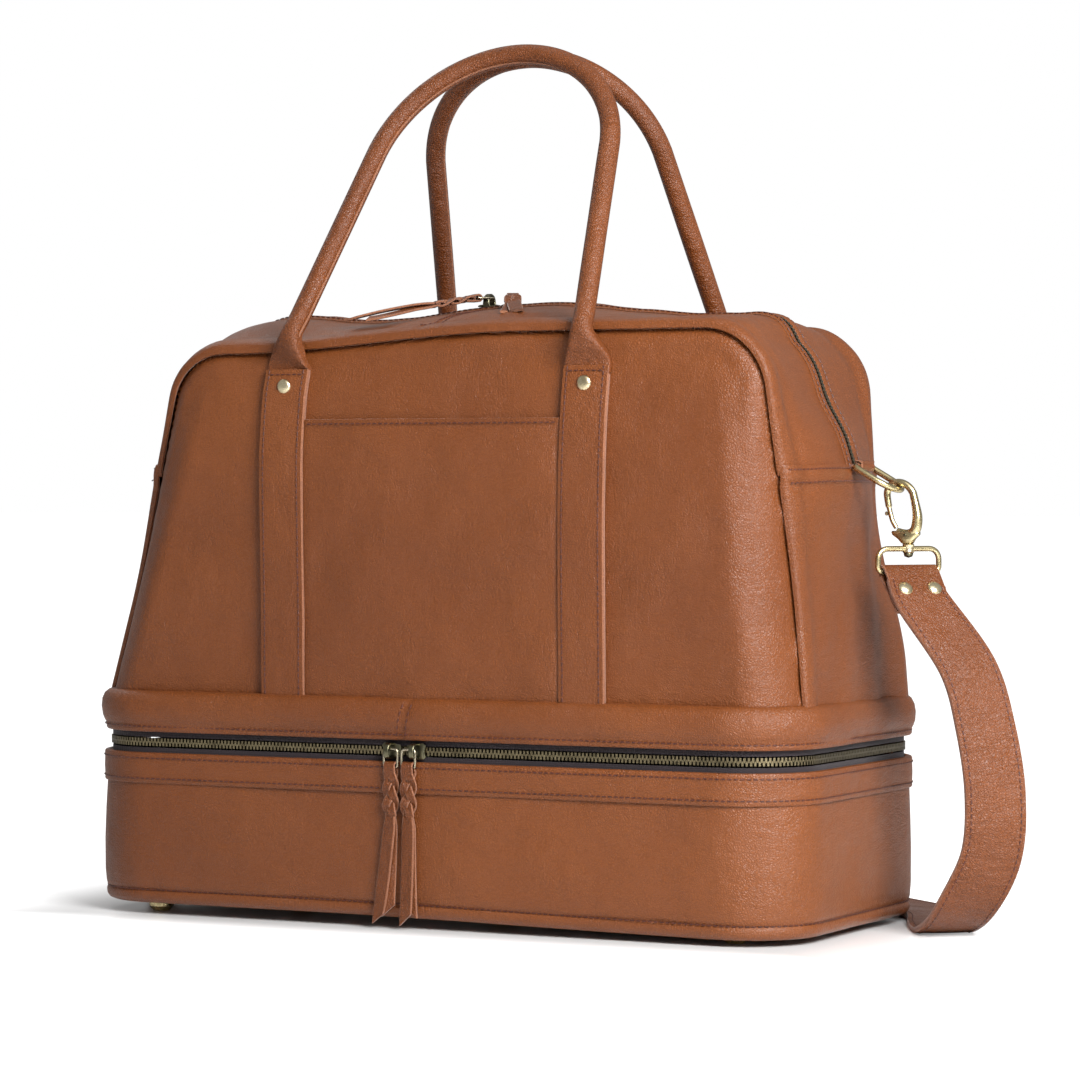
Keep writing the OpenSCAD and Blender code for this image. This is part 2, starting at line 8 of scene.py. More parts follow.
import bmesh
import bpy
import numpy as np
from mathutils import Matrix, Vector


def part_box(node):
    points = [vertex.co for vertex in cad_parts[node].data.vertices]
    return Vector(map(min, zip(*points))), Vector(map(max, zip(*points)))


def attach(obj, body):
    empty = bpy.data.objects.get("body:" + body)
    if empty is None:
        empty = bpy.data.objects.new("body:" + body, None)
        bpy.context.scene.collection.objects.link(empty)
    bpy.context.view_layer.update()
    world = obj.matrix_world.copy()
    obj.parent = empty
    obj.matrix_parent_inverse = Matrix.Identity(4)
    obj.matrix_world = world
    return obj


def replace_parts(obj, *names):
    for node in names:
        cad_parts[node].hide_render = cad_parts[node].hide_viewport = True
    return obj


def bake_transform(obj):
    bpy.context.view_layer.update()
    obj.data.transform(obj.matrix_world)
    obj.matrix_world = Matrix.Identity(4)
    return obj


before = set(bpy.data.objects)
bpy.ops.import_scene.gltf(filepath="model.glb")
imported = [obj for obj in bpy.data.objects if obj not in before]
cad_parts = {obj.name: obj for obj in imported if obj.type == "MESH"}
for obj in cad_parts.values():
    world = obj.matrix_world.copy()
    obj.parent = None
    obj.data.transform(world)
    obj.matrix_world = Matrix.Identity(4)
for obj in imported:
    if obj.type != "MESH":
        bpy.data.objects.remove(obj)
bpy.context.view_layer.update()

MM = 0.001


# ------------------------------------------------------------------ camera and light

def aim(obj, target):
    """Turns a camera or lamp to look at a point."""
    direction = Vector(target) - obj.location
    obj.rotation_euler = direction.to_track_quat("-Z", "Y").to_euler()


def add_camera(azimuth, distance, height, lens):
    """Level camera that looks at the bag from the front right."""
    data = bpy.data.cameras.new("camera")
    data.lens = lens
    data.shift_x = 0.034
    data.shift_y = -0.051
    camera = bpy.data.objects.new("camera", data)
    turn = math.radians(azimuth)
    camera.location = (distance * math.sin(turn), -distance * math.cos(turn), height)
    camera.rotation_euler = (math.pi / 2, 0, turn)
    bpy.context.collection.objects.link(camera)
    bpy.context.scene.camera = camera


def add_softbox(name, place, target, size, power):
    """Large square lamp aimed at a point."""
    data = bpy.data.lights.new(name, "AREA")
    data.size = size
    data.energy = power
    lamp = bpy.data.objects.new(name, data)
    lamp.location = place
    bpy.context.collection.objects.link(lamp)
    aim(lamp, target)


def add_sun(direction, strength, softness):
    """Broad even light from far away, which lights the whole floor alike."""
    data = bpy.data.lights.new("sun", "SUN")
    data.energy = strength
    data.angle = math.radians(softness)
    lamp = bpy.data.objects.new("sun", data)
    lamp.location = direction
    bpy.context.collection.objects.link(lamp)
    aim(lamp, (0, 0, 0))


def add_world(room, backdrop):
    """Even light from a pale room, with a white backdrop wherever the camera looks past the bag."""
    world = bpy.data.worlds.new("studio")
    world.use_nodes = True
    tree = world.node_tree
    background = tree.nodes["Background"]
    background.inputs["Color"].default_value = (1, 1, 1, 1)
    seen = tree.nodes.new("ShaderNodeLightPath").outputs["Is Camera Ray"]
    level = tree.nodes.new("ShaderNodeMapRange")
    level.inputs["To Min"].default_value = room
    level.inputs["To Max"].default_value = backdrop
    tree.links.new(seen, level.inputs["Value"])
    tree.links.new(level.outputs["Result"], background.inputs["Strength"])
    bpy.context.scene.world = world


add_camera(azimuth=27.4, distance=2.566, height=0.275, lens=132.9)
add_world(room=0.40, backdrop=1.0)
add_sun((1.2, -1.4, 2.4), strength=0.45, softness=35)
add_softbox("key", (1.3, -0.9, 1.0), (0.2, 0, 0.25), 0.8, 60)
add_softbox("rim", (-1.6, 0.9, 1.9), (0, 0, 0.3), 1.2, 8)
bpy.context.scene.view_settings.view_transform = "Standard"


# ------------------------------------------------------------------ materials

def srgb(red, green, blue):
    """Linear colour of an 8-bit display colour."""
    def linear(v):
        v = v / 255
        return v / 12.92 if v <= 0.04045 else ((v + 0.055) / 1.055) ** 2.4
    return (linear(red), linear(green), linear(blue), 1.0)


class Nodes:
    """Short calls that add and join nodes of one material."""

    def __init__(self, name):
        self.material = bpy.data.materials.new(name)
        self.material.use_nodes = True
        self.tree = self.material.node_tree
        self.shader = self.tree.nodes["Principled BSDF"]
        self.place = self.add("ShaderNodeTexCoord").outputs["Object"]

    def add(self, kind, settings=None, **inputs):
        node = self.tree.nodes.new(kind)
        for key, value in (settings or {}).items():
            setattr(node, key, value)
        for key, value in inputs.items():
            self.put(node.inputs[key.replace("_", " ")], value)
        return node

    def put(self, socket, value):
        if isinstance(value, bpy.types.NodeSocket):
            self.tree.links.new(value, socket)
        else:
            socket.default_value = value

    def noise(self, scale, detail=3.0, roughness=0.5, stretch=None):
        place = self.place
        if stretch:
            place = self.add("ShaderNodeVectorMath", {"operation": "MULTIPLY"})
            self.put(place.inputs[0], self.place)
            self.put(place.inputs[1], stretch)
            place = place.outputs[0]
        node = self.add("ShaderNodeTexNoise", Vector=place, Scale=scale, Detail=detail, Roughness=roughness)
        return node.outputs["Fac"]

    def warped(self, scale, amount):
        """The object's coordinates, pushed about by noise."""
        noise = self.add("ShaderNodeTexNoise", Vector=self.place, Scale=scale, Detail=2.0)
        push = self.add("ShaderNodeVectorMath", {"operation": "SCALE"}, Scale=amount)
        self.put(push.inputs[0], noise.outputs["Color"])
        moved = self.add("ShaderNodeVectorMath", {"operation": "ADD"})
        self.put(moved.inputs[0], self.place)
        self.put(moved.inputs[1], push.outputs[0])
        return moved.outputs[0]

    def cells(self, scale, place):
        """Distance to the nearest edge of a cell pattern."""
        node = self.add("ShaderNodeTexVoronoi", {"feature": "DISTANCE_TO_EDGE"}, Vector=place, Scale=scale)
        return node.outputs["Distance"]

    def ramp(self, value, low, high, start=0.0, end=1.0):
        """Remaps a value's range smoothly."""
        node = self.add("ShaderNodeMapRange", {"interpolation_type": "SMOOTHSTEP"}, Value=value)
        for key, number in (("From Min", low), ("From Max", high), ("To Min", start), ("To Max", end)):
            node.inputs[key].default_value = number
        return node.outputs["Result"]

    def mix(self, share, first, second):
        node = self.add("ShaderNodeMix", {"data_type": "RGBA"})
        self.put(node.inputs[0], share)
        self.put(node.inputs[6], first)
        self.put(node.inputs[7], second)
        return node.outputs[2]

    def maths(self, operation, first, second):
        node = self.add("ShaderNodeMath", {"operation": operation})
        self.put(node.inputs[0], first)
        self.put(node.inputs[1], second)
        return node.outputs[0]

    def bump(self, height, strength, distance, under=None):
        node = self.add("ShaderNodeBump", Strength=strength, Distance=distance, Height=height)
        if under is not None:
            self.put(node.inputs["Normal"], under)
        return node.outputs["Normal"]

    def finish(self, **sockets):
        for key, value in sockets.items():
            self.put(self.shader.inputs[key.replace("_", " ")], value)
        return self.material


def leather(name, light, dark, grain=1.0, crease=1.0):
    """Full-grain leather: fine pebbled grain, soft creases that run across, a slightly uneven dye, and
    painted shade darkening the grain's hollows and the creases.
    """
    n = Nodes(name)
    # Darker copy of the leather's colour, used only as painted shade in the grain's hollows and along the
    # creases.
    painted_shade = tuple(v * 0.5 for v in dark[:3]) + (1,)
    pebble = n.ramp(n.cells(640, n.warped(300, 0.0016)), 0.0, 0.3)
    coarse = n.ramp(n.cells(260, n.warped(120, 0.005)), 0.0, 0.16)
    folded = n.ramp(n.noise(26, 2, 0.5), 0.42, 0.7)
    wrinkle = n.maths("MULTIPLY", n.maths("SUBTRACT", 1.0, coarse), folded)
    colour = n.mix(n.ramp(n.noise(6, 3, 0.5), 0.3, 0.75), dark, light)
    # Painted shade: the hollows between the grain's pebbles are darkened.
    colour = n.mix(n.ramp(pebble, 0.0, 0.7, 0.3 * grain, 0.0), colour, painted_shade)
    # Painted shade: the leather is darkened along the soft creases.
    colour = n.mix(n.maths("MULTIPLY", wrinkle, 0.1 * crease), colour, painted_shade)
    normal = n.bump(pebble, 0.42 * grain, 0.0006)
    normal = n.bump(n.maths("MULTIPLY", wrinkle, -1.0), 0.24 * crease, 0.0006, normal)
    normal = n.bump(n.noise(95, 4, 0.6, (0.6, 0.6, 1.8)), 0.42 * crease, 0.002, normal)
    normal = n.bump(n.noise(24, 3, 0.5), 0.42 * crease, 0.007, normal)
    gloss = n.ramp(n.noise(30, 3, 0.6), 0.3, 0.7, 0.37, 0.48)
    return n.finish(Base_Color=colour, Roughness=gloss, Normal=normal, Specular_IOR_Level=0.36)


def raw_leather(name, light, dark):
    """Cut edge or flesh side: paler, matt and fibrous."""
    n = Nodes(name)
    fibre = n.noise(600, 4, 0.7, (1.0, 1.0, 2.5))
    colour = n.mix(n.ramp(fibre, 0.3, 0.7), dark, light)
    colour = n.mix(n.ramp(n.noise(60, 2, 0.5), 0.4, 0.8, 0, 0.35), colour, dark)
    normal = n.bump(fibre, 0.5, 0.0004)
    return n.finish(Base_Color=colour, Roughness=0.85, Normal=normal, Sheen_Weight=0.2)


def metal(name, light, dark, gloss, edge_shade=0.7):
    """Antique plated metal with random darker patches, and painted shade that darkens it where its surface
    turns away from the camera.
    """
    n = Nodes(name)
    facing = n.add("ShaderNodeLayerWeight", Blend=0.5).outputs["Facing"]
    patch = n.ramp(n.noise(130, 4, 0.65), 0.38, 0.7, 0.0, 0.5)
    # Painted shade: the metal darkens where its surface turns away from the camera, standing in for shade
    # round its edges.
    turned_away = n.ramp(facing, 0.35, 0.85, 0.0, edge_shade)
    colour = n.mix(n.maths("MAXIMUM", patch, turned_away), light, dark)
    rough = n.ramp(n.noise(260, 4, 0.6), 0.3, 0.75, gloss, gloss + 0.11)
    normal = n.bump(n.noise(900, 2, 0.5), 0.08, 0.0002)
    return n.finish(Base_Color=colour, Roughness=rough, Metallic=1.0, Normal=normal)


def cloth(name, light, dark, threads, shine=0.1):
    """Woven cloth: two thread directions and slight fading."""
    n = Nodes(name)
    split = n.add("ShaderNodeSeparateXYZ", Vector=n.place).outputs
    warp, weft = (
        n.maths("SINE", n.maths("MULTIPLY", n.maths("ADD", split[k], split[1]), threads), 0.0)
        for k in (0, 2))
    weave = n.maths("MAXIMUM", warp, weft)
    colour = n.mix(n.ramp(weave, -0.4, 1.0), dark, light)
    colour = n.mix(n.ramp(n.noise(25, 3, 0.5), 0.3, 0.8, 0, 0.4), colour, dark)
    normal = n.bump(weave, 0.35, 0.0003)
    return n.finish(Base_Color=colour, Roughness=0.82, Normal=normal, Sheen_Weight=shine)


def thread(name, light, dark):
    """Waxed sewing thread with a twist."""
    n = Nodes(name)
    twist = n.noise(1400, 2, 0.5)
    colour = n.mix(n.ramp(twist, 0.35, 0.65), dark, light)
    return n.finish(Base_Color=colour, Roughness=0.55, Normal=n.bump(twist, 0.3, 0.0002))


TAN = leather("leather", srgb(118, 64, 27), srgb(104, 54, 21))
SUPPLE = leather("leather_strap", srgb(116, 62, 26), srgb(96, 49, 19), grain=1.2, crease=1.7)
RAW = raw_leather("leather_raw", srgb(138, 88, 58), srgb(104, 61, 38))
THREAD = thread("thread", srgb(84, 38, 26), srgb(52, 22, 15))
TAPE = cloth("zip_tape", srgb(38, 25, 31), srgb(18, 11, 15), 5200)
LINING = cloth("lining", srgb(112, 92, 70), srgb(74, 58, 42), 3600, 0.2)
BOARD = cloth("board", srgb(86, 72, 58), srgb(60, 49, 38), 3000)
ROPE = cloth("rope_core", srgb(186, 170, 138), srgb(140, 122, 92), 2400)
BRASS = metal("hardware_brass", srgb(206, 190, 146), srgb(84, 68, 38), 0.22)
RIVET = metal("rivet_brass", srgb(222, 208, 172), srgb(128, 104, 66), 0.26, 0.5)
WIRE = metal("ring_wire", srgb(186, 176, 152), srgb(88, 78, 60), 0.24)
DARK_METAL = metal("slider_metal", srgb(112, 108, 86), srgb(38, 36, 28), 0.28)
BRONZE = metal("zip_teeth", srgb(138, 126, 98), srgb(50, 43, 31), 0.3)


# ------------------------------------------------------------------ mesh helpers

def unit(v):
    return v / np.maximum(np.linalg.norm(v, axis=-1, keepdims=True), 1e-9)


def smooth(t):
    t = np.clip(t, 0, 1)
    return t * t * (3 - 2 * t)


def hill(distance, width):
    return np.exp(-((distance / width) ** 2))


def waves(points, size, seed):
    """Smooth height from about -1 to 1 at each point, with bumps of about a given size."""
    rng = np.random.default_rng(seed)
    total = np.zeros(points.shape[:-1])
    for _ in range(7):
        direction = unit(rng.normal(size=3))
        step = 2 * math.pi / (size * rng.uniform(0.7, 1.7))
        total = total + np.sin(points @ direction * step + rng.uniform(0, 2 * math.pi))
    return total / 3.5


def add_mesh(name, verts, faces, materials, body=None, face_slots=None, sharp=45):
    """New piece from points in millimetres, with outward faces and soft shading below the sharp angle."""
    mesh = bpy.data.meshes.new(name)
    mesh.from_pydata((np.asarray(verts).reshape(-1, 3) * MM).tolist(), [], faces)
    for material in materials:
        mesh.materials.append(material)
    if face_slots is not None:
        mesh.polygons.foreach_set("material_index", face_slots)
    bm = bmesh.new()
    bm.from_mesh(mesh)
    bmesh.ops.recalc_face_normals(bm, faces=bm.faces)
    bm.to_mesh(mesh)
    bm.free()
    mesh.polygons.foreach_set("use_smooth", [True] * len(mesh.polygons))
    mesh.set_sharp_from_angle(angle=math.radians(sharp))
    obj = bpy.data.objects.new(name, mesh)
    bpy.context.collection.objects.link(obj)
    if body:
        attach(obj, body)
    return obj


def grid_faces(rows, cols, start=0, wrap_rows=False, wrap_cols=False):
    r = np.arange(rows if wrap_rows else rows - 1)
    c = np.arange(cols if wrap_cols else cols - 1)
    a, b = np.meshgrid(r, c, indexing="ij")
    a_next = (a + 1) % rows
    b_next = (b + 1) % cols
    quads = np.stack([a * cols + b, a * cols + b_next, a_next * cols + b_next, a_next * cols + b], -1)
    return (quads.reshape(-1, 4) + start).tolist()


def grid_normals(points, centre):
    """Unit normals of a grid of points, away from a centre."""
    n = unit(np.cross(np.gradient(points, axis=0), np.gradient(points, axis=1)))
    facing = np.sign(np.sum(n * (points - centre)))
    return n * (facing or 1)


def add_panel(name, outer, thickness, body, centre=(0, 0, 230), skin=None, edge=None, slot="leather"):
    """Thin sheet given by a grid of points on its outer face, with an edge of another material."""
    skin = skin or TAN
    edge = edge or RAW
    rows, cols = outer.shape[:2]
    n = grid_normals(outer, np.array(centre, float))
    rim = np.zeros((rows, cols, 1))
    rim[0], rim[-1], rim[:, 0], rim[:, -1] = 0.3, 0.3, 0.3, 0.3
    top = outer - n * thickness * rim
    low = outer - n * thickness * (1 - rim)
    size = rows * cols
    loop = [(0, c) for c in range(cols)] + [(r, cols - 1) for r in range(1, rows)]
    loop += [(rows - 1, c) for c in range(cols - 2, -1, -1)] + [(r, 0) for r in range(rows - 2, 0, -1)]
    ids = [r * cols + c for r, c in loop]
    rims = [[i, j, j + size, i + size] for i, j in zip(ids, ids[1:] + ids[:1])]
    sheet = grid_faces(rows, cols)
    faces = sheet + [[i + size for i in q[::-1]] for q in sheet] + rims
    marks = [0] * (2 * len(sheet)) + [1] * len(rims)
    verts = np.concatenate([top.reshape(-1, 3), low.reshape(-1, 3)])
    return add_mesh(name, verts, faces, [skin, edge], body, marks)


def add_tube(name, rings, material, body=None, closed=False, edge=None, edge_cols=(), sharp=45):
    """Solid through a row of rings of points, each ring a closed outline."""
    count, cols = rings.shape[:2]
    faces = grid_faces(count, cols, wrap_rows=closed, wrap_cols=True)
    marks = [1 if i % cols in edge_cols else 0 for i in range(len(faces))]
    if not closed:
        faces += [list(range(cols)), list(range((count - 1) * cols, count * cols))]
        marks += [1, 1]
    return add_mesh(name, rings, faces, [material, edge or material], body, marks, sharp)


def carry(centres, across, up, profile):
    """Rings made by carrying a flat profile along a line."""
    profile = np.asarray(profile, float)
    if profile.ndim == 2:
        profile = profile[None]
    return centres[:, None] + across[:, None] * profile[..., 0:1] + up[:, None] * profile[..., 1:2]


def circle_profile(radius, count=12):
    a = np.arange(count) * 2 * math.pi / count
    return np.stack([np.cos(a), np.sin(a)], -1) * radius


def strip_profile(width, thick, crown=0.0):
    """Cross-section of a flat strap: rounded edges and a slight crown. Its edge faces are STRIP_EDGES."""
    w, t = width / 2, thick / 2
    xs = np.array([-w + 0.5, -w * 0.8, -w * 0.4, 0, w * 0.4, w * 0.8, w - 0.5])
    top = [(x, t + crown * (1 - (x / w) ** 2)) for x in xs]
    low = [(x, -t) for x in xs[::-1]]
    return np.array(top + [(w, t * 0.55), (w, -t * 0.55)] + low + [(-w, -t * 0.55), (-w, t * 0.55)])


STRIP_EDGES = (6, 7, 8, 15, 16, 17)


def strip_profiles(widths, thick):
    """Cross-sections of a strap whose width changes along it."""
    return np.array([strip_profile(w, thick) for w in widths])


def leather_strip(name, rings, skin, body):
    """Strap of leather with raw cut edges, through rings made from a strap's cross-section."""
    return add_tube(name, rings, skin, body, edge=RAW, edge_cols=STRIP_EDGES)


def resample(points, step):
    """Evenly spaced points on a polyline."""
    points = np.asarray(points, float)
    lengths = np.concatenate([[0], np.cumsum(np.linalg.norm(np.diff(points, axis=0), axis=1))])
    count = max(2, int(round(lengths[-1] / step)))
    at = np.linspace(0, lengths[-1], count + 1)
    return np.stack([np.interp(at, lengths, points[:, k]) for k in range(points.shape[1])], -1)


def curve(points, step=3.0):
    """Smooth curve through points, evenly spaced."""
    p = np.asarray(points, float)
    p = np.concatenate([[2 * p[0] - p[1]], p, [2 * p[-1] - p[-2]]])
    out = []
    for k in range(len(p) - 3):
        a, b, c, d = p[k:k + 4]
        t = np.linspace(0, 1, 24, endpoint=False)[:, None]
        out.append(0.5 * (2 * b + (c - a) * t + (2 * a - 5 * b + 4 * c - d) * t ** 2
                          + (3 * b - a - 3 * c + d) * t ** 3))
    out.append(p[-2][None])
    return resample(np.concatenate(out), step)


def directions(points, closed=False):
    if closed:
        return unit(np.roll(points, -1, axis=0) - np.roll(points, 1, axis=0))
    return unit(np.gradient(points, axis=0))


def square_to(reference, along):
    """Part of a reference direction that is square to a line, at each point."""
    reference = np.broadcast_to(np.asarray(reference, float), along.shape)
    return unit(reference - np.sum(reference * along, -1, keepdims=True) * along)


def wire(name, points, radius, normal, material, body, closed=False, count=12):
    """Round wire along a flat line. The radius may change along it."""
    points = np.asarray(points, float)
    along = directions(points, closed)
    up = square_to(normal, along)
    across = np.cross(along, up)
    radius = np.broadcast_to(np.asarray(radius, float), (len(points),))
    profile = circle_profile(1.0, count)[None] * radius[:, None, None]
    return add_tube(name, carry(points, across, up, profile), material, body, closed)


def turned(name, outline, place, axis, material, body, count=28):
    """Round piece turned about an axis through a place. The outline lists (radius, height)."""
    axis = unit(np.asarray(axis, float))
    side = unit(np.cross(axis, [0.31, 0.87, 0.39]))
    other = np.cross(axis, side)
    a = np.arange(count) * 2 * math.pi / count
    ring = np.cos(a)[:, None] * side + np.sin(a)[:, None] * other
    rings = np.array([np.asarray(place, float) + axis * h + ring * r for r, h in outline])
    return add_tube(name, rings, material, body, sharp=60)


def join(name, objs, body):
    """Makes one piece of several."""
    bpy.ops.object.select_all(action="DESELECT")
    for o in objs:
        o.parent = None
        o.select_set(True)
    bpy.context.view_layer.objects.active = objs[0]
    bpy.ops.object.join()
    objs[0].name = name
    if body:
        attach(objs[0], body)
    return objs[0]


# ------------------------------------------------------------------ stitches and teeth

def capsule(length, width, height):
    """One stitch lying along X."""
    a = np.arange(6) * math.pi / 3
    ring = np.stack([np.zeros(6), np.cos(a) * width / 2, np.sin(a) * height / 2], -1)
    stations = [(-0.42, 0.7), (0.0, 1.0), (0.42, 0.7)]
    verts = [ring * [0, s, s] + [x * length, 0, 0] for x, s in stations]
    verts = np.concatenate(verts + [[[-length / 2, 0, -height / 3]], [[length / 2, 0, -height / 3]]])
    faces = grid_faces(3, 6, wrap_cols=True)
    faces += [[i, (i + 1) % 6, 18] for i in range(6)]
    faces += [[12 + (i + 1) % 6, 12 + i, 19] for i in range(6)]
    return verts, faces


def spaced(points, normals, pitch):
    """Middles, directions and normals of marks evenly spaced on a line."""
    points = np.asarray(points, float)
    normals = np.broadcast_to(np.asarray(normals, float), points.shape)
    lengths = np.concatenate([[0], np.cumsum(np.linalg.norm(np.diff(points, axis=0), axis=1))])
    count = max(1, int(lengths[-1] / pitch))
    at = (np.arange(count) + 0.5) * lengths[-1] / count

    def pick(values, where):
        return np.stack([np.interp(where, lengths, values[:, k]) for k in range(3)], -1)

    along = unit(pick(points, at + pitch / 3) - pick(points, at - pitch / 3))
    up = square_to(pick(normals, at), along)
    return pick(points, at), along, up


def copies(shape, middles, along, up):
    """Copies of a small mesh at many places, as one mesh."""
    verts, faces = shape
    across = np.cross(up, along)
    placed = (middles[:, None] + verts[None, :, 0:1] * along[:, None]
              + verts[None, :, 1:2] * across[:, None] + verts[None, :, 2:3] * up[:, None])
    size = len(verts)
    every = [[i + k * size for i in face] for k in range(len(middles)) for face in faces]
    return placed.reshape(-1, 3), every


STITCH = capsule(3.0, 0.95, 0.8)


def add_stitches(name, rows, body, pitch=3.9):
    """All the stitches of several rows. Each row is a line and its normals."""
    marks = [spaced(points, normals, pitch) for points, normals in rows]
    middles, along, up = (np.concatenate([m[k] for m in marks]) for k in range(3))
    verts, faces = copies(STITCH, middles + up * 0.12, along, up)
    return add_mesh(name, verts, faces, [THREAD], body)


def tooth(width, depth, height):
    """One zip tooth standing along +Y, with a rounded head and its thickness along Z."""
    w = width / 2
    shoulder = height * 0.7
    outline = [(-w, 0), (w, 0), (w, shoulder), (w * 0.55, height), (-w * 0.55, height), (-w, shoulder)]
    verts = [(x, y, z) for z in (-depth / 2, depth / 2) for x, y in outline]
    faces = grid_faces(2, 6, wrap_cols=True) + [[0, 1, 2, 3, 4, 5], [11, 10, 9, 8, 7, 6]]
    return np.array(verts, float), faces


def add_teeth(name, line, normals, sideways, body, first=0.0, pitch=2.5):
    """Row of zip teeth on a line, with their heads turned one way across it."""
    middles, along, up = spaced(line, normals, pitch)
    shift = along * pitch * first
    flip = np.sign(np.sum(np.cross(up, along) * sideways, -1))[:, None]
    verts, faces = copies(tooth(1.4, 2.5, 3.0), middles + shift, along * flip, up)
    return add_mesh(name, verts, faces, [BRONZE], body, sharp=25)


# ------------------------------------------------------------------ sizes from the frame

def box_mm(node):
    low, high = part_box(node)
    return np.array(low) / MM, np.array(high) / MM


half_w, half_d = box_mm("base_wall")[1][:2]
corner_r = 50.0
base_z = box_mm("base_floor")[0][2]
strip_z, gap_lo = box_mm("zip_strip")[0][2], box_mm("zip_strip")[1][2]
gap_hi = box_mm("low_tape_upper")[1][2]
zip_z = (gap_lo + gap_hi) / 2
zip_back_y = box_mm("zip_strip")[1][1]
panel_z = box_mm("upper_band")[1][2]
ridge_z = box_mm("gusset_front")[1][2]
tab_z = box_mm("side_panel_left")[1][2]
pocket_z = box_mm("front_pocket")[1][2]
strap_left, strap_right = box_mm("strap_front_left"), box_mm("strap_front_right")
strap_half = (strap_right[1][0] - strap_right[0][0]) / 2
half_span = (strap_right[1][0] - strap_left[1][0]) / 2
handle_x = (strap_right[1][0] + strap_left[0][0]) / 2


# ------------------------------------------------------------------ outline of the base

def base_rim(step=3.0):
    """Points and outward directions round the base, from the middle of the back, past the left side."""
    r, cx, cy = corner_r, half_w - corner_r, half_d - corner_r
    points = [(0.0, half_d)]
    for sx, sy, start in ((-1, 1, 90), (-1, -1, 180), (1, -1, 270), (1, 1, 0)):
        for a in np.radians(np.linspace(start, start + 90, 30)):
            points.append((sx * cx + r * math.cos(a), sy * cy + r * math.sin(a)))
    points.append((0.0, half_d))
    line = resample(points, step)[:-1]
    along = directions(line, closed=True)
    return line, np.stack([along[:, 1], -along[:, 0]], -1)


rim, rim_out = base_rim()
front_rim = rim[:, 1] < zip_back_y


def sagged(points):
    """Points of the base once its bottom edge has sagged a little towards the right."""
    points = np.array(points, float)
    to_the_right = smooth((points[..., 0] + 80) / 320)
    low_down = 1 - smooth((points[..., 2] - base_z - 12) / 30)
    points[..., 2] -= 3.2 * to_the_right * low_down
    return points


def wall_rings(profile, part=None, wobble=0.0, size=60, seed=1):
    """Rings of a wall round the base. The profile lists (distance out, height) round the wall's section."""
    part = np.ones(len(rim), bool) if part is None else part
    p, n = rim[part], rim_out[part]
    profile = np.asarray(profile, float)
    rings = np.empty((len(p), len(profile), 3))
    rings[..., :2] = p[:, None] + n[:, None] * profile[None, :, 0:1]
    rings[..., 2] = profile[None, :, 1]
    if wobble:
        shift = waves(rings, size, seed) * wobble
        rings[..., :2] += n[:, None] * shift[..., None]
    return rings


def wall_line(out, z, part=None):
    """Line round the wall at a distance out and a height, with its outward normals."""
    part = np.ones(len(rim), bool) if part is None else part
    p, n = rim[part], rim_out[part]
    line = np.column_stack([p + n * out, np.full(len(p), z)])
    return line, np.column_stack([n, np.zeros(len(p))])


def back_part(reach=0):
    """Indices of the rim across the back, from the right end of the zip to the left one."""
    order = np.roll(np.arange(len(rim)), len(rim) // 2)
    return order[rim[order][:, 1] >= zip_back_y - reach]


# ------------------------------------------------------------------ shoe compartment

def base_wall_piece():
    z = base_z
    profile = [
        (-2.6, gap_lo - 0.5), (-0.3, gap_lo), (0.0, gap_lo - 4), (0.2, strip_z), (1.0, 66), (1.5, 46),
        (1.3, 26), (0.7, z + 12), (0.1, z + 9.4), (-0.7, z + 8.6), (0.0, z + 7.8), (0.5, z + 6),
        (0.2, z + 3.2), (-1.2, z + 1.1), (-3.6, z + 0.1), (-9, z), (-9, z + 2.4), (-3.4, z + 3.4),
        (-2.8, z + 10), (-2.8, 50), (-2.8, 80)]
    rings = sagged(wall_rings(profile, wobble=0.5, size=90, seed=3))
    obj = add_tube("base_leather", rings, TAN, "base", closed=True)
    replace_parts(obj, "base_wall")


def sheet_rings(inset, low, high):
    """Closed flat sheet with the base's outline, as rings from its middle out and back."""
    p = rim - rim_out * inset
    shares = (0.02, 0.25, 0.5, 0.75, 0.93, 1.0)
    rings = [np.column_stack([p * s, np.full(len(p), high)]) for s in shares]
    rings += [np.column_stack([p * s, np.full(len(p), low)]) for s in shares[::-1]]
    return np.array(rings)


def base_floor_piece():
    rings = sheet_rings(7, base_z + 0.1, base_z + 2.4)
    rings[..., 2] += waves(rings * [1, 1, 0], 120, 5) * 0.15
    obj = add_tube("base_bottom", sagged(rings), TAN, "base")
    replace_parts(obj, "base_floor")


def base_lining_piece():
    top = gap_lo - 1
    low = box_mm("base_lining")[0][2]
    profile = [
        (-4.2, top), (-4.6, 70), (-5.0, 40), (-4.6, low + 5), (-6, low + 0.6), (-12, low),
        (-12, low + 1), (-7.2, low + 1.6), (-6.0, low + 6), (-6.4, 40), (-6.0, 70), (-5.4, top)]
    rings = wall_rings(profile, wobble=0.7, size=45, seed=7)
    wall = add_tube("base_lining_wall", rings, LINING, "base", closed=True)
    floor = sheet_rings(11, low + 0.2, low + 1.2)
    floor[..., 2] += (waves(floor * [1, 1, 0], 70, 9) + 1.1) * 0.35
    bottom = add_tube("base_lining_floor", floor, LINING, "base")
    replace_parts(join("base_lining_cloth", [wall, bottom], "base"), "base_lining")


def zip_strip_piece():
    low, high = strip_z, gap_lo
    profile = [
        (0.4, low), (1.5, low + 0.1), (2.0, low + 0.9), (1.9, low + 3), (2.2, low + 9),
        (2.0, high - 3), (2.1, high - 1.2), (1.6, high - 0.1), (0.4, high + 0.3), (-1.6, high + 0.2),
        (-2.2, high - 1), (-1.0, high - 2), (0.3, high - 3)]
    rings = wall_rings(profile, front_rim, wobble=0.15, size=50, seed=11)
    obj = add_tube("strip_leather", rings, TAN, "base", edge=RAW, edge_cols=(0,))
    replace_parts(obj, "zip_strip")
    rows = [wall_line(2.12, low + 3.2, front_rim), wall_line(2.18, high - 3.2, front_rim)]
    low_line, low_out = wall_line(-0.1, base_z + 8.8)
    rows.append((sagged(low_line), low_out))
    add_stitches("base_stitches", rows, "base")


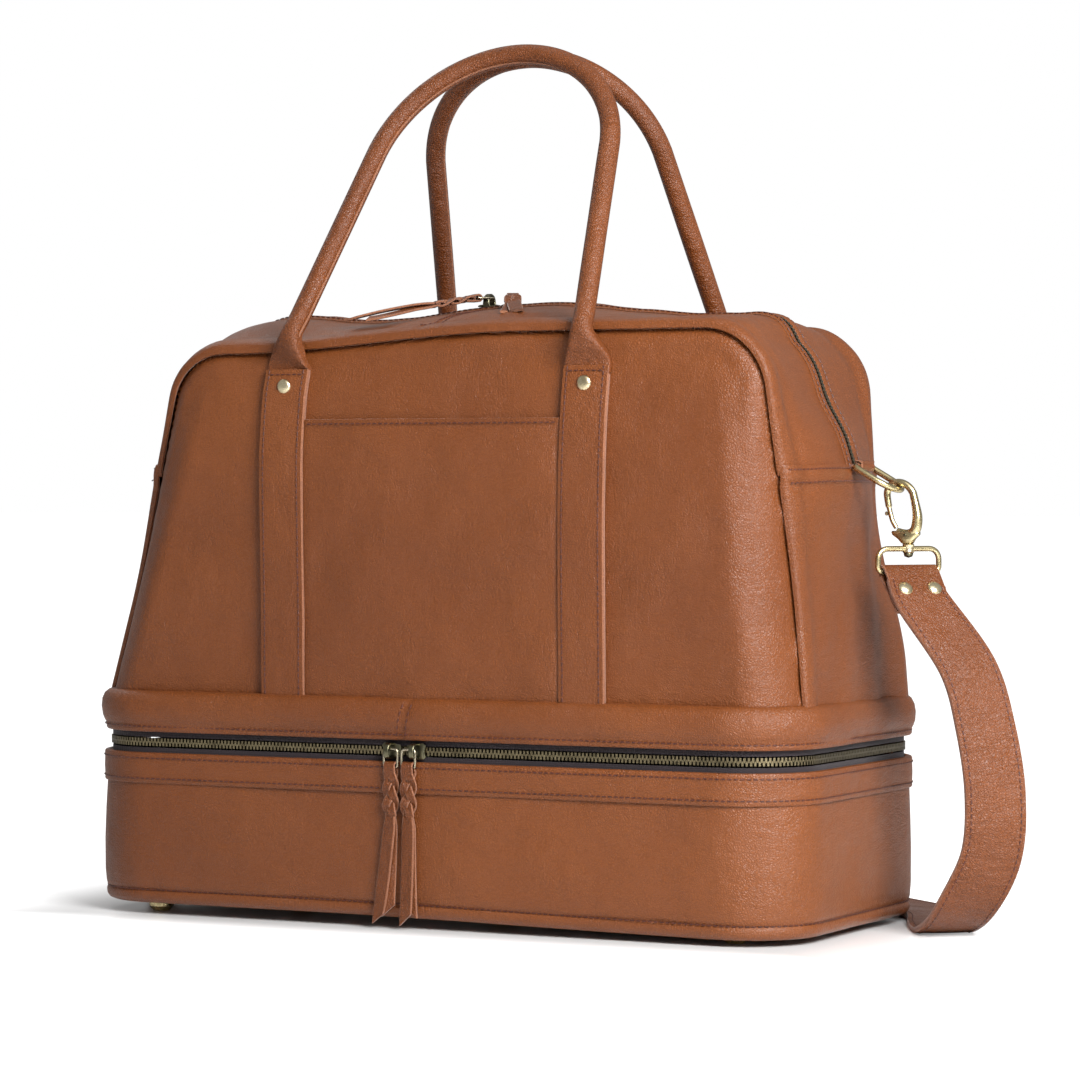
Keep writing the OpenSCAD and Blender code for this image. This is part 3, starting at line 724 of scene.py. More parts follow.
def hinge_strip_piece():
    """Leather hinge across the back, sewn to the base and to the band."""
    low, high = strip_z, gap_hi + 5
    heights = np.linspace(low, high, 13)
    outer = [(1.9 if 0 < i < 12 else 1.4, z) for i, z in enumerate(heights)]
    inner = [(0.2, z) for z in heights[::-1]]
    part = back_part()
    rings = wall_rings(outer + inner, part, wobble=0.15, size=50, seed=13)
    obj = add_tube("hinge_strip", rings, TAN, edge=RAW)
    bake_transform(obj)
    rows = [wall_line(2.0, low + 3, part)]
    add_stitches("hinge_stitches_low", rows, "base")
    rows = [wall_line(2.0, high - 2.5, part)]
    add_stitches("hinge_stitches_high", rows, "upper")


def band_piece():
    """Puffed band above the compartment's zip, with its slanted seam at the front."""
    z = gap_hi
    profile = [
        (-7.5, panel_z + 0.6), (-4.5, panel_z + 1.2), (-1.2, panel_z + 0.4), (1.6, panel_z - 1.8),
        (3.4, panel_z - 5.5), (4.1, panel_z - 10.5), (3.6, z + 9), (2.5, z + 6), (1.5, z + 4.2),
        (1.5, z + 2.5), (1.4, z + 0.8), (0.7, z), (-1.0, z), (-1.8, z + 1), (-2.4, z + 6), (-4, panel_z - 6)]
    rings = wall_rings(profile, wobble=0.75, size=70, seed=17)
    line = seam_slant(rings[..., 2])
    near = hill(rings[..., 0] - line, 2.2) * (rings[..., 1] < 0)
    rings[..., 1] += near * 1.3
    obj = add_tube("band_leather", rings, TAN, "upper", closed=True)
    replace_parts(obj, "upper_band")
    rows = [wall_line(1.62, z + 3.4)]
    z_run = np.linspace(z + 1.5, panel_z - 2, 12)
    puff = np.interp(z_run, [p[1] for p in profile[10:0:-1]], [p[0] for p in profile[10:0:-1]])
    for shift in (-3.0, 3.0):
        line = np.column_stack([seam_slant(z_run) + shift, -half_d - puff + 0.2, z_run])
        rows.append((line, (0, -1, 0)))
    add_stitches("band_stitches", rows, "upper")


def seam_slant(z):
    """Where the band's front seam is at a height."""
    return -9 + (z - zip_z - 18) * 0.25


def compartment_zip():
    """Two rows of teeth that meet in the middle of the gap."""
    root = 2.5
    rows = (("low", zip_z - root, 1, "base", 0.0, "low_teeth_base"),
            ("high", zip_z + root, -1, "upper", 0.5, "low_teeth_upper"))
    for name, z, heads, body, first, node in rows:
        line, out = wall_line(-3.6, z, front_rim)
        obj = add_teeth("low_teeth_row_" + name, line, out, np.array([0, 0, heads]), body, first)
        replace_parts(obj, node)


# ------------------------------------------------------------------ shape of the upper bag

dome = 24.0
seam_top = ridge_z - dome
LEAN = {"left": 0.283, "right": 0.088}
CORNER_R = {"left": 38.0, "right": 40.0}
seam_step = 4.0
panel_t = 2.2
cloth_t = 0.8


def settle(x, z):
    """Height once the soft top has settled, a little lower on the left."""
    drop = 3.5 - 11 * smooth((60 - x) / 200)
    return z + drop * np.clip((z - panel_z) / (seam_top - panel_z), 0, 1.2)


def seam_side(name):
    """One side of the front seam before it settles, from the top's end down to the band."""
    lean, r = LEAN[name], CORNER_R[name]
    foot_x = half_w - 7
    cz = seam_top - r
    turn = math.atan(lean)
    cx = foot_x - (cz - panel_z) * lean - r / math.cos(turn)
    arc = [(cx + r * math.cos(a), cz + r * math.sin(a)) for a in np.linspace(math.pi / 2, turn, 30)]
    sign = -1 if name == "left" else 1
    return np.array([(sign * x, z) for x, z in arc + [(foot_x + 6 * lean, panel_z - 6)]])


def seam_line():
    """Front seam seen from the front, from the left of the band over the top to its right, with normals."""
    left, right = seam_side("left"), seam_side("right")
    level = resample(np.concatenate([left[::-1], right]), seam_step)
    line = np.column_stack([level[:, 0], settle(level[:, 0], level[:, 1])])
    line = resample(line, seam_step)
    along = directions(line)
    return line, np.stack([-along[:, 1], along[:, 0]], -1)


seam, seam_out = seam_line()
seam_share = np.linspace(0, 1, len(seam))
seam_length = seam_step * (len(seam) - 1)
top_index = int(np.argmin(np.abs(seam[:, 0]) + 1000 * (seam[:, 1] < 300)))


def seam_depth(z):
    """How far the seams lie in front of and behind the middle at a height."""
    return 80 + 18 * smooth((z - 190) / (seam_top - 190))


def depth_at(share):
    """How far the seams lie in front of and behind the middle at a share of the way along them."""
    return seam_depth(np.interp(share, seam_share, seam[:, 1]))


def face_depth(x, z):
    """How far the front panel's outer face is from the middle."""
    p = np.stack([x, z], -1)
    apart = np.linalg.norm(p[..., None, :] - seam, axis=-1).min(-1)
    flat = half_d - 7 - 10 * np.clip((z - 285) / (seam_top - 285), 0, 1) ** 1.7
    corner = (flat - seam_depth(z)) * np.clip(1 - apart / 30, 0, 1) ** 2.2
    tuck = 3.4 * hill(apart, 2.8) - 1.2 * hill(apart - 9, 5)
    inner = smooth(apart / 30)
    p3 = np.stack([x, z * 0.8, 0 * x], -1)
    soft = inner * (0.9 * waves(p3, 120, 21) + 0.35 * waves(p3, 38, 22))
    soft += inner * 1.6 * np.sin(np.clip((z - panel_z) / (seam_top - panel_z), 0, 1) * math.pi)
    return flat - corner - tuck + soft


def face_points(x, z, side, lift=0.0):
    return np.stack([x, side * (face_depth(x, z) + lift), z], -1)


def taper(t, z):
    """How much narrower the soft top is towards the back. t runs from -1 at the front to 1."""
    return 1 - 0.035 * (1 + t) * smooth((z - 160) / 110)


def face_grid(rise, u, margin=0.0):
    """Places on the front panel: rise from 0 at the band to 1 at the top, u from -1 at the left seam to 1."""
    zz, uu = np.meshgrid(panel_z - 5 + (seam_top - panel_z + 5 - margin) * rise, u, indexing="ij")
    sides = {name: seam_side(name) for name in ("left", "right")}
    low = np.interp(-zz, -sides["left"][:, 1], sides["left"][:, 0]) + margin
    high = np.interp(-zz, -sides["right"][:, 1], sides["right"][:, 0]) - margin
    x = low + (high - low) * (uu + 1) / 2
    return x, settle(x, zz)


def face_panel(side, name, node):
    """Front or back panel, whose sides and top tuck into the seams."""
    rise = 1 - (1 - np.linspace(0, 1, 84)) ** 1.7
    u = np.linspace(-1, 1, 160)
    u = np.sign(u) * (1 - (1 - np.abs(u)) ** 1.6)
    x, z = face_grid(rise, u)
    points = face_points(x, z, side)
    points[..., 0] *= taper(side, z)
    obj = add_panel(name, points, 2.4, "upper")
    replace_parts(obj, node)


def gusset_points(share, t, lift=0.0):
    """Point on the gusset: share runs over the bag from left to right, t from -1 at the front seam to 1."""
    x, z = (np.interp(share, seam_share, seam[:, k]) for k in range(2))
    nx, nz = (np.interp(share, seam_share, seam_out[:, k]) for k in range(2))
    depth = seam_depth(z)
    apart = depth * (1 - np.abs(t))
    height = 5 * smooth((z - panel_z) / 60) + 12.5 * hill(z - 272, 40) * (1 - smooth((nz - 0.2) / 0.5))
    height += 9 * smooth((nz - 0.75) / 0.25)
    uneven = np.where(x > 0, -9 * smooth((x - 40) / 110), 6 * smooth((-80 - x) / 60))
    height += smooth((z - 300) / 40) * uneven
    roll = 4.6 + 1.2 * smooth((z - 300) / 60)
    up = height * (1 - t ** 2) + roll * (1 - np.exp(-apart / 2.4))
    up += 1.2 * hill(apart - 8, 5) - 1.6 * hill(apart - 20, 8) * smooth((z - 240) / 60)
    up += 1.3 * hill(np.abs(t) * depth - 8.5, 3.2) * smooth((z - tab_z + 4) / 12)
    puff = np.sign(t) * 3.4 * hill(apart - 3.0, 3.6)
    place = np.stack([x, t * depth, z], -1)
    calm = smooth(apart / 25)
    up += calm * (0.7 * waves(place, 90, 31) + 0.3 * waves(place, 30, 32))
    side = smooth((tab_z - 5 - z) / 60) * calm
    up += side * 1.7 * waves(place * [0.1, 1.0, 0.16], 42, 33)
    up += lift
    return np.stack([(x + nx * up) * taper(t, z), t * depth + puff, z + nz * up], -1)


def share_at(z, right):
    """Share of the seam where it passes a height, on one side."""
    if right:
        return float(np.interp(-z, -seam[top_index:, 1], seam_share[top_index:]))
    return float(np.interp(z, seam[:top_index + 1, 1], seam_share[:top_index + 1]))


def gusset_piece(side, name, node):
    """Half of the top gusset, from a seam to the zip, and down to the tabs at both ends."""
    low, high = share_at(tab_z - 8, False), share_at(tab_z - 8, True)
    share = np.linspace(low, high, 190)
    y_edge = 4.4
    across = np.linspace(0, 1, 40) ** 1.7
    ss, aa = np.meshgrid(share, across, indexing="ij")
    depth = depth_at(ss)
    t = -1 + aa * (1 - y_edge / depth)
    if side > 0:
        t = -t
    points = gusset_points(ss, t)
    centre = seam_share[top_index]
    slant, offset = 6, 8
    middle = hill((ss - centre) * seam_length - (1 - np.abs(t)) * slant + offset, 2.2) * smooth(aa * 12)
    points[..., 2] -= middle * 1.2
    leather_part = add_panel(name, points, panel_t, "upper")
    strip_y = side * np.array([3.9, 4.6, 9.0, 13.6])
    ss, yy = np.meshgrid(share, strip_y, indexing="ij")
    strip = gusset_points(ss, yy / depth_at(ss), 1.3)
    facing = add_panel("zip_facing", strip, 1.4, "upper")
    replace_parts(join(name, [leather_part, facing], "upper"), node)
    rows = []
    edge = np.linspace(low + 0.004, high - 0.004, 160)
    line = gusset_points(edge, side * (y_edge + 6.8) / depth_at(edge), 1.4)
    rows.append((line, unit(line - [0, 0, 200])))
    inner = np.linspace(0.08, 0.9, 30)
    for shift in (-3, 3):
        t_line = side * (1 - inner * 0.95)
        where = centre + ((1 - np.abs(t_line)) * slant - offset + shift) / seam_length
        line = gusset_points(where, t_line)
        rows.append((line, (0, side * 0.25, 1)))
    add_stitches(name + "_stitches", rows, "upper")


def side_piece(right, name, node):
    """Lower side panel with its raw top edge and two rows of stitches."""
    low = share_at(panel_z - 5, right)
    high = share_at(tab_z - 2, right)
    share = np.linspace(low, high, 46)
    t = np.linspace(-1, 1, 90)
    t = np.sign(t) * (1 - (1 - np.abs(t)) ** 1.6)
    ss, tt = np.meshgrid(share, t, indexing="ij")
    top = smooth((np.interp(ss, seam_share, seam[:, 1]) - tab_z + 16) / 10)
    points = gusset_points(ss, tt, 0.3 + 1.6 * top)
    obj = add_panel(name, points, panel_t, "upper")
    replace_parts(obj, node)
    rows = []
    run = np.linspace(-0.96, 0.96, 60)
    for drop in (2.6, 10.5):
        where = np.full(60, share_at(tab_z - 2 - drop, right))
        line = gusset_points(where, run, 2.0)
        rows.append((line, unit(line * [1, 0.4, 0])))
    add_stitches(name + "_stitches", rows, "upper")


def top_zip():
    """Tapes and teeth of the top zip, from tab to tab."""
    low, high = share_at(tab_z - 6, False), share_at(tab_z - 6, True)
    share = np.linspace(low, high, 200)
    depth = depth_at(share)
    for side, name in ((-1, "front"), (1, "back")):
        across = np.array([1.6, 4.5, 8])
        t = side * across[None] / depth[:, None]
        points = gusset_points(share[:, None] + 0 * t, t, -1.4)
        tape = add_panel("top_tape_cloth_" + name, points, cloth_t, "upper", skin=TAPE, edge=TAPE,
                         slot="zip_tape")
        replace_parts(tape, "top_tape_" + name)
        line = gusset_points(share, side * 2.6 / depth, 0.4)
        out = unit(gusset_points(share, 0 * share, 5) - gusset_points(share, 0 * share, 0))
        heads = np.array([0, -side, 0])
        row = add_teeth("top_teeth_metal_" + name, line, out, heads, "upper", 0.5 * (side > 0))
        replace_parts(row, "top_teeth_" + name)


def main_lining_piece():
    """Lining of the main compartment, a little inside the leather."""
    share = np.linspace(share_at(panel_z, False), share_at(panel_z, True), 120)
    t = np.linspace(-0.93, 0.93, 30)
    ss, tt = np.meshgrid(share, t, indexing="ij")
    look = dict(skin=LINING, edge=LINING, slot="lining")
    parts = [add_panel("lining_round", gusset_points(ss, tt, -6), cloth_t, "upper", **look)]
    x, z = face_grid(np.linspace(0.03, 1, 30), np.linspace(-1, 1, 40), margin=9)
    for side in (-1, 1):
        points = face_points(x, z, side, -9)
        points[..., 0] *= taper(side, z)
        parts.append(add_panel("lining_face", points, cloth_t, "upper", **look))
    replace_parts(join("main_lining_cloth", parts, "upper"), "main_lining")


# ------------------------------------------------------------------ straps, pocket and handles

strap_thick = 4.2
strap_top = box_mm("strap_front_right")[1][2] + 3


def handle_strap(sx, sy, name, node):
    """Flat strap up the face of the bag, sewn along both edges."""
    z = np.linspace(panel_z - 3, strap_top, 60)
    x = np.full(60, handle_x + sx * half_span)
    centre = face_points(x, z, sy, strap_thick / 2 + 0.2)
    along = directions(centre)
    across = square_to((1, 0, 0), along)
    up = np.cross(across, along) * -sy
    up = up * np.sign(up[:, 1:2] * sy)
    rings = carry(centre, across, up, strip_profile(2 * strap_half, strap_thick, 0.5))
    obj = leather_strip(name, rings, TAN, "upper")
    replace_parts(obj, node)
    lift = strap_thick / 2 + 0.25
    rows = [(centre + across * s * (strap_half - 3.2) + up * lift, up) for s in (-1, 1)]
    run = np.linspace(-1, 1, 12)[:, None] * across[-2] * (strap_half - 3.4)
    top = centre[-2] + up[-2] * (lift + 0.35) + run
    rows.append((top, up[-2]))
    add_stitches(name + "_stitches", rows, "upper", 3.6)


def pocket_piece():
    """Flat pocket between the front straps, open along its top."""
    half = half_span - strap_half - 0.3
    z = panel_z - 3 + (pocket_z - panel_z + 3) * np.linspace(0, 1, 50)
    zz, xx = np.meshgrid(z, handle_x + np.linspace(-half, half, 60), indexing="ij")

    def leather_at(x, z, lift):
        bow = 0.7 * waves(np.stack([x, z, 0 * x], -1), 70, 41) * smooth((half - np.abs(x - handle_x)) / 15)
        return face_points(x, z, -1, lift - bow)

    lip = 0.9 * smooth((zz - pocket_z + 4) / 3)
    obj = add_panel("pocket_leather", leather_at(xx, zz, 2.9 + lip), 1.7, "upper")
    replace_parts(obj, "front_pocket")
    x = handle_x + np.linspace(-half + 2, half - 2, 60)
    line = leather_at(x, np.full(60, pocket_z - 2.8), 3.9)
    add_stitches("pocket_stitches", [(line, (0, -1, 0))], "upper")


cover_top = box_mm("handle_front_cover")[1][2]
pivot_z = 352.0
pivot_y = 116.0
handle_r = 6.5
arch_r = 84.0
handle_shift = {-1: 12.0, 1: 6.0}


def handle_line(side):
    """Line of one handle, from the left strap up and over to the right one, and its side's normal."""
    top_y = handle_r + 4
    rise = cover_top - handle_r - pivot_z
    lean = math.atan2(pivot_y - top_y, rise)
    length = rise / math.cos(lean)
    arch = length - arch_r
    reach = math.hypot(half_span, arch)
    turn = math.acos(arch_r / reach) - math.atan2(arch, half_span)
    arc = [(arch_r * math.cos(a), arch + arch_r * math.sin(a)) for a in np.linspace(math.pi / 2, turn, 40)]
    leg = [(half_span + (arc[-1][0] - half_span) * s, arc[-1][1] * s) for s in (0.8, 0.6, 0.4, 0.22, 0.12)]
    half = [(u, side * (pivot_y - w * math.sin(lean)), pivot_z + w * math.cos(lean)) for u, w in arc + leg]
    root_z = np.array([strap_top - 4.5, strap_top + 3])
    root = face_points(np.full(2, handle_x + half_span), root_z, side, strap_thick / 2 + 0.2)
    half += [(half_span, y, z) for _, y, z in root[::-1]]
    line = curve([(-x, y, z) for x, y, z in half[:0:-1]] + half, 2.5)
    line[:, 0] += handle_x + handle_shift[side] * np.clip((line[:, 2] - pivot_z) / rise, 0, 1)
    return line, np.array([0, side * math.cos(lean), math.sin(lean)])


def handle_piece(side, name, node, body):
    """Rolled handle that flares out flat into the straps at its roots."""
    line, normal = handle_line(side)
    along = directions(line)
    up = square_to(normal, along)
    across = np.cross(along, up)
    roll = smooth((line[:, 2] - strap_top + 1) / 27)[:, None]
    a = np.arange(28) * 2 * math.pi / 28
    power = 2 / (2 + 6 * (1 - roll))
    wide = strap_half + (handle_r - strap_half) * roll
    painted_shade = strap_thick / 2 + 0.25 + (handle_r - strap_thick / 2 - 0.25) * roll
    px = wide * np.sign(np.cos(a)) * np.abs(np.cos(a)) ** power
    py = painted_shade * np.sign(np.sin(a)) * np.abs(np.sin(a)) ** power
    sign = 1 if across[len(line) // 2][2] < 0 else -1
    inward = hill(np.arccos(np.clip(sign * np.cos(a), -1, 1)), 0.22)
    px = px * (1 - 0.10 * inward * roll)
    rings = carry(line, across, up, np.stack([px, py], -1))
    swell = 1 + 0.02 * waves(line, 45, 51 if side < 0 else 52)
    rings = line[:, None] + (rings - line[:, None]) * swell[:, None, None]
    obj = add_tube(name, rings, SUPPLE, edge=RAW)
    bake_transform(obj)
    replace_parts(obj, node)
    rolled = roll[:, 0] > 0.85
    seam_at = line + sign * across * (handle_r * 0.9)
    wire(name + "_seam", seam_at[rolled], 0.8, normal, RAW, body, count=8)
    rope = wire(name + "_rope", line[line[:, 2] > pivot_z + 14], 4.2, normal, ROPE, body)
    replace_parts(rope, node.replace("cover", "core"))
    parts = [(seam_at + up * s * 2.1 - sign * across * 0.35)[rolled] for s in (-1, 1)]
    rows = [(p, (p - line[rolled]) / handle_r) for p in parts]
    add_stitches(name + "_stitches", rows, body, 4.0)


# ------------------------------------------------------------------ rivets and feet

rivet_r = 4.8


def rivet_outline(r):
    """Domed head of a rivet, as (radius, height) from its top down."""
    return [(0.05, 2.3), (r * 0.35, 2.2), (r * 0.7, 1.75), (r * 0.92, 1.05), (r, 0.5), (r, 0),
            (r * 0.9, -0.6), (0.05, -0.6)]


def handle_rivet_pieces():
    z = (box_mm("handle_rivets")[0][2] + box_mm("handle_rivets")[1][2]) / 2
    head = rivet_outline(rivet_r)
    parts = []
    for sx in (-1, 1):
        for sy in (-1, 1):
            x = np.array(handle_x + sx * half_span)
            place = face_points(x, np.array(z), sy, strap_thick + 0.7)
            parts.append(turned("rivet", head, place, (0, sy, 0), RIVET, "upper"))
    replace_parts(join("handle_rivet_heads", parts, "upper"), "handle_rivets")


# ------------------------------------------------------------------ zip sliders and pulls

def placed(points, origin, axes):
    """Points from a piece's own axes to the frame's."""
    return np.asarray(origin, float) + np.asarray(points, float) @ np.asarray(axes, float)


ring_rise = 6.3
pull_start = -9


def slider_pieces(name, origin, axes, body, nose):
    """Slider with a shaped plate on both sides of the chain and an arched crown. nose is its closed end."""
    outline = [(-6.6, -3.6), (-6.9, 0), (-6.6, 3.6), (-3, 4.3), (1, 4.9), (4.9, 5.0), (6.6, 3.4), (5.6, 0.9),
               (5.6, -0.9), (6.6, -3.4), (4.9, -5.0), (1, -4.9), (-3, -4.3)]
    outline = np.array(outline) * [-nose, 1]
    parts = []
    for low, high in ((0.4, 2.1), (-4.2, -3.0)):
        levels = ((0.88, low), (1.0, low + 0.35), (1.0, high - 0.6), (0.84, high))
        rings = np.array([np.column_stack([outline * s, np.full(len(outline), h)]) for s, h in levels])
        if low < 0:
            rings[..., 1] = np.minimum(rings[..., 1], 0.8)
        parts.append(add_tube("part", placed(rings, origin, axes), DARK_METAL, body))
    neck = [(0, 0, 0.6), (0, 0, -3.2)]
    parts.append(wire("part", placed(neck, origin, axes), 0.9, axes[0], DARK_METAL, body))
    arch = curve([(0, -4.2, 1.4), (0, -4.4, 4.4), (0, -3.4, 7.3), (0, 0, 8.5), (0, 3.4, 7.3), (0, 4.4, 4.4),
                  (0, 4.2, 1.4)], 1.0)
    along = directions(arch)
    across = np.tile([1.0, 0, 0], (len(arch), 1))
    widths = 3.4 + 1.8 * np.linspace(-1, 1, len(arch)) ** 2
    rings = carry(arch, across, np.cross(along, across), strip_profiles(widths, 1.4))
    parts.append(add_tube("part", placed(rings, origin, axes), DARK_METAL, body))
    return join(name, parts, body)


def pull_ring_piece(name, origin, axes, body, shift):
    """Closed wire ring through the slider's crown, slid a little sideways along it."""
    w, y0, y1, z = 4.6, 1.2, -9.6, ring_rise
    loop = [(-w + 1.6, y0, z), (w - 1.6, y0, z), (w, y0 - 1.6, z), (w, y1 + 1.0, z), (w - 1.0, y1, z),
            (-w + 1.0, y1, z), (-w, y1 + 1.0, z), (-w, y0 - 1.6, z)]
    points = curve(loop + loop[:1], 0.9)[:-1] + [shift, 0, 0]
    points = placed(points, origin, axes)
    return wire(name, points, 0.8, axes[2], WIRE, body, closed=True, count=10)


def pull_pieces(name, origin, axes, body, bend, fan, shift):
    """Leather pull: a loop on the ring, a flat three-strand braid and two flat tails with slanted ends.

    bend lists (length along, drop) of the pull's middle line, ending at its tip. fan is how far each tail
    strays sideways.
    """
    along_at = np.array([b[0] for b in bend], float)
    drop_at = np.array([b[1] for b in bend], float)

    def laid(points):
        """Moves a straight pull's points, (sideways, along, out), onto its bent middle line."""
        points = np.asarray(points, float)
        drop = np.interp(points[..., 1], along_at, drop_at)
        flat = np.stack([points[..., 0] + shift, pull_start - points[..., 1],
                         ring_rise + points[..., 2] - drop], -1)
        return placed(flat, origin, axes)

    def strand(centre, facing, profiles):
        along = directions(centre)
        out = square_to(facing, along)
        return carry(centre, np.cross(along, out), out, profiles)

    parts = []
    loop = curve([(0, 9, 1.0), (0, 3, 1.7), (0, -0.6, 1.9), (0, -2.0, 0), (0, -0.6, -1.9), (0, 3, -1.7),
                  (0, 9, -1.0)], 0.8)
    across = np.tile([1.0, 0, 0], (len(loop), 1))
    rings = carry(loop, across, np.cross(directions(loop), across), strip_profile(7.8, 1.4))
    parts.append(leather_strip("part", laid(rings), SUPPLE, body))
    braid_from, braid_to = 3.0, 31.0
    y = np.linspace(braid_from, braid_to, 70)
    squeeze = smooth((y - braid_from + 6) / 9) * (1 - 0.35 * smooth((y - braid_to + 8) / 8))
    for k in range(3):
        phase = 2 * math.pi * ((y - braid_from) / 32 + k / 3)
        centre = np.stack([2.9 * squeeze * np.sin(phase), y, 1.5 * np.sin(2 * phase)], -1)
        rings = strand(centre, (0, 0, 1), strip_profiles(np.full(70, 5.4), 1.5))
        parts.append(leather_strip("part", laid(rings), SUPPLE, body))
    for k, stray in enumerate(fan):
        end = along_at[-1] - 5 * k
        y = np.linspace(braid_to - 4, end, 34)
        t = (y - y[0]) / (end - y[0])
        out_by = (1.0 - 1.9 * k) * smooth(t * 3 + 0.3) + 0.8 * np.sin(t * 4 + 2 * k + shift) * t
        centre = np.stack([stray * t ** 1.2 + (0.5 - k) * 0.8, y, out_by], -1)
        widths = 6.0 + 3.0 * smooth(t * 5)
        rings = strand(centre, (0.3 * (k - 0.5), 0, 1), strip_profiles(widths, 1.6))
        slant = 0.9 if stray <= 0 else -0.9
        rings[..., 1] -= slant * (rings[..., 0] - centre[:, None, 0]) * (t ** 8)[:, None]
        parts.append(leather_strip("part", laid(rings), SUPPLE, body))
    return join(name, parts, body)


def middle_of(node):
    low, high = box_mm(node)
    return (low + high) / 2


def compartment_sliders():
    pulls = (("left", 1, (-9.0, -1.5), 2.2), ("right", -1, (-1.5, 1.5), -3.0))
    for name, nose, fan, shift in pulls:
        x = middle_of("low_slider_" + name)[0]
        origin = (x, -half_d + 2.3, zip_z)
        axes = np.array([(1, 0, 0), (0, 0, 1), (0, -1, 0)], float)
        slider = slider_pieces("low_slider_metal_" + name, origin, axes, "low_slider_" + name, nose)
        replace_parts(slider, "low_slider_" + name)
        body = "low_pull_" + name
        ring = pull_ring_piece("low_ring_wire_" + name, origin, axes, body, shift)
        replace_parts(ring, "low_ring_" + name)
        pull = pull_pieces("low_pull_leather_" + name, origin, axes, body, [(0, 0), (95, 0)], fan, shift)
        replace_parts(pull, "low_pull_" + name)


def top_sliders():
    """Sliders of the top zip, whose pulls lie on the bag's rounded top."""
    left_bend = [(0, 0), (8, 1), (25, 4), (45, 7), (65, 11), (84, 15)]
    right_bend = [(0, 0), (8, 1), (25, 4), (45, 8), (68, 12)]
    pulls = (("left", 1, -37, (-11, 6), left_bend), ("right", -1, 27, (2, -3), right_bend))
    for name, nose, yaw, fan, bend in pulls:
        x = middle_of("top_slider_" + name)[0]
        origin = (x, 0, ridge_z - 0.9)
        flat = np.array([(1, 0, 0), (0, 1, 0), (0, 0, 1)], float)
        slider = slider_pieces("top_slider_metal_" + name, origin, flat, "top_slider_" + name, nose)
        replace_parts(slider, "top_slider_" + name)
        c, s = math.cos(math.radians(yaw)), math.sin(math.radians(yaw))
        axes = np.array([(c, s, 0), (-s, c, 0), (0, 0, 1)], float)
        body = "top_pull_" + name
        ring = pull_ring_piece("top_ring_wire_" + name, origin, axes, body, 0)
        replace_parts(ring, "top_ring_" + name)
        pull = pull_pieces("top_pull_leather_" + name, origin, axes, body, bend, fan, 0)
        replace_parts(pull, "top_pull_" + name)


# ------------------------------------------------------------------ side hardware

d_reach = 28.0
d_half = 13.0
d_tip = math.radians(30)
hook_z = 272.0
ring_hi, ring_lo = hook_z - 36, hook_z - 50


def tab_piece(side, name, node, bar):
    """Leather tab folded round a D-ring's bar."""
    bx, bz = bar
    r = 3.3
    start = gusset_points(np.array(share_at(tab_z - 4, side > 0)), np.array(0.0))[0] * side
    turn = [(bx * side + r * math.cos(a), bz + r * math.sin(a)) for a in np.linspace(1.9, -1.9, 11)]
    flat = [(start - 4, bz - 0.6), (start + 4, bz + 0.6), (start + 10, bz + 2.6)] + turn
    flat += [(start + 10, bz - 0.6), (start + 4, bz - 1.5), (start - 4, bz - 2.6)]
    line = curve([(x * side, 0, z) for x, z in flat], 1.5)
    along = directions(line)
    across = np.tile([0.0, 1, 0], (len(line), 1))
    rings = carry(line, across, np.cross(along, across), strip_profile(20, 1.9))
    obj = leather_strip(name, rings, TAN, "upper")
    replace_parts(obj, node)


def d_ring_piece(side, name, node, bar, body):
    """D-ring, tipped down about its bar."""
    arc_x = d_reach - d_half
    half = [(0, y) for y in np.linspace(-d_half + 2, d_half - 2, 9)]
    bend = [(1, d_half - 0.5), (arc_x * 0.5, d_half)]
    arc = [(arc_x + d_half * math.sin(a), d_half * math.cos(a)) for a in np.linspace(0, math.pi, 24)]
    loop = half + bend + arc + [(x, -y) for x, y in bend[::-1]]
    flat = curve(loop + loop[:1], 1.2)[:-1]
    x = bar[0] + side * flat[:, 0] * math.cos(d_tip)
    z = bar[1] - flat[:, 0] * math.sin(d_tip)
    points = np.stack([x, flat[:, 1], z], -1)
    normal = (side * math.sin(d_tip), 0, math.cos(d_tip))
    obj = wire(name, points, 2.0, normal, BRASS, body, True, 14)
    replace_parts(obj, node)


def leant(points, side):
    """Points of a hook once it leans towards the bag from its stud up."""
    points = np.array(points, float)
    points[..., 0] -= side * 0.16 * (points[..., 2] - ring_hi)
    return points


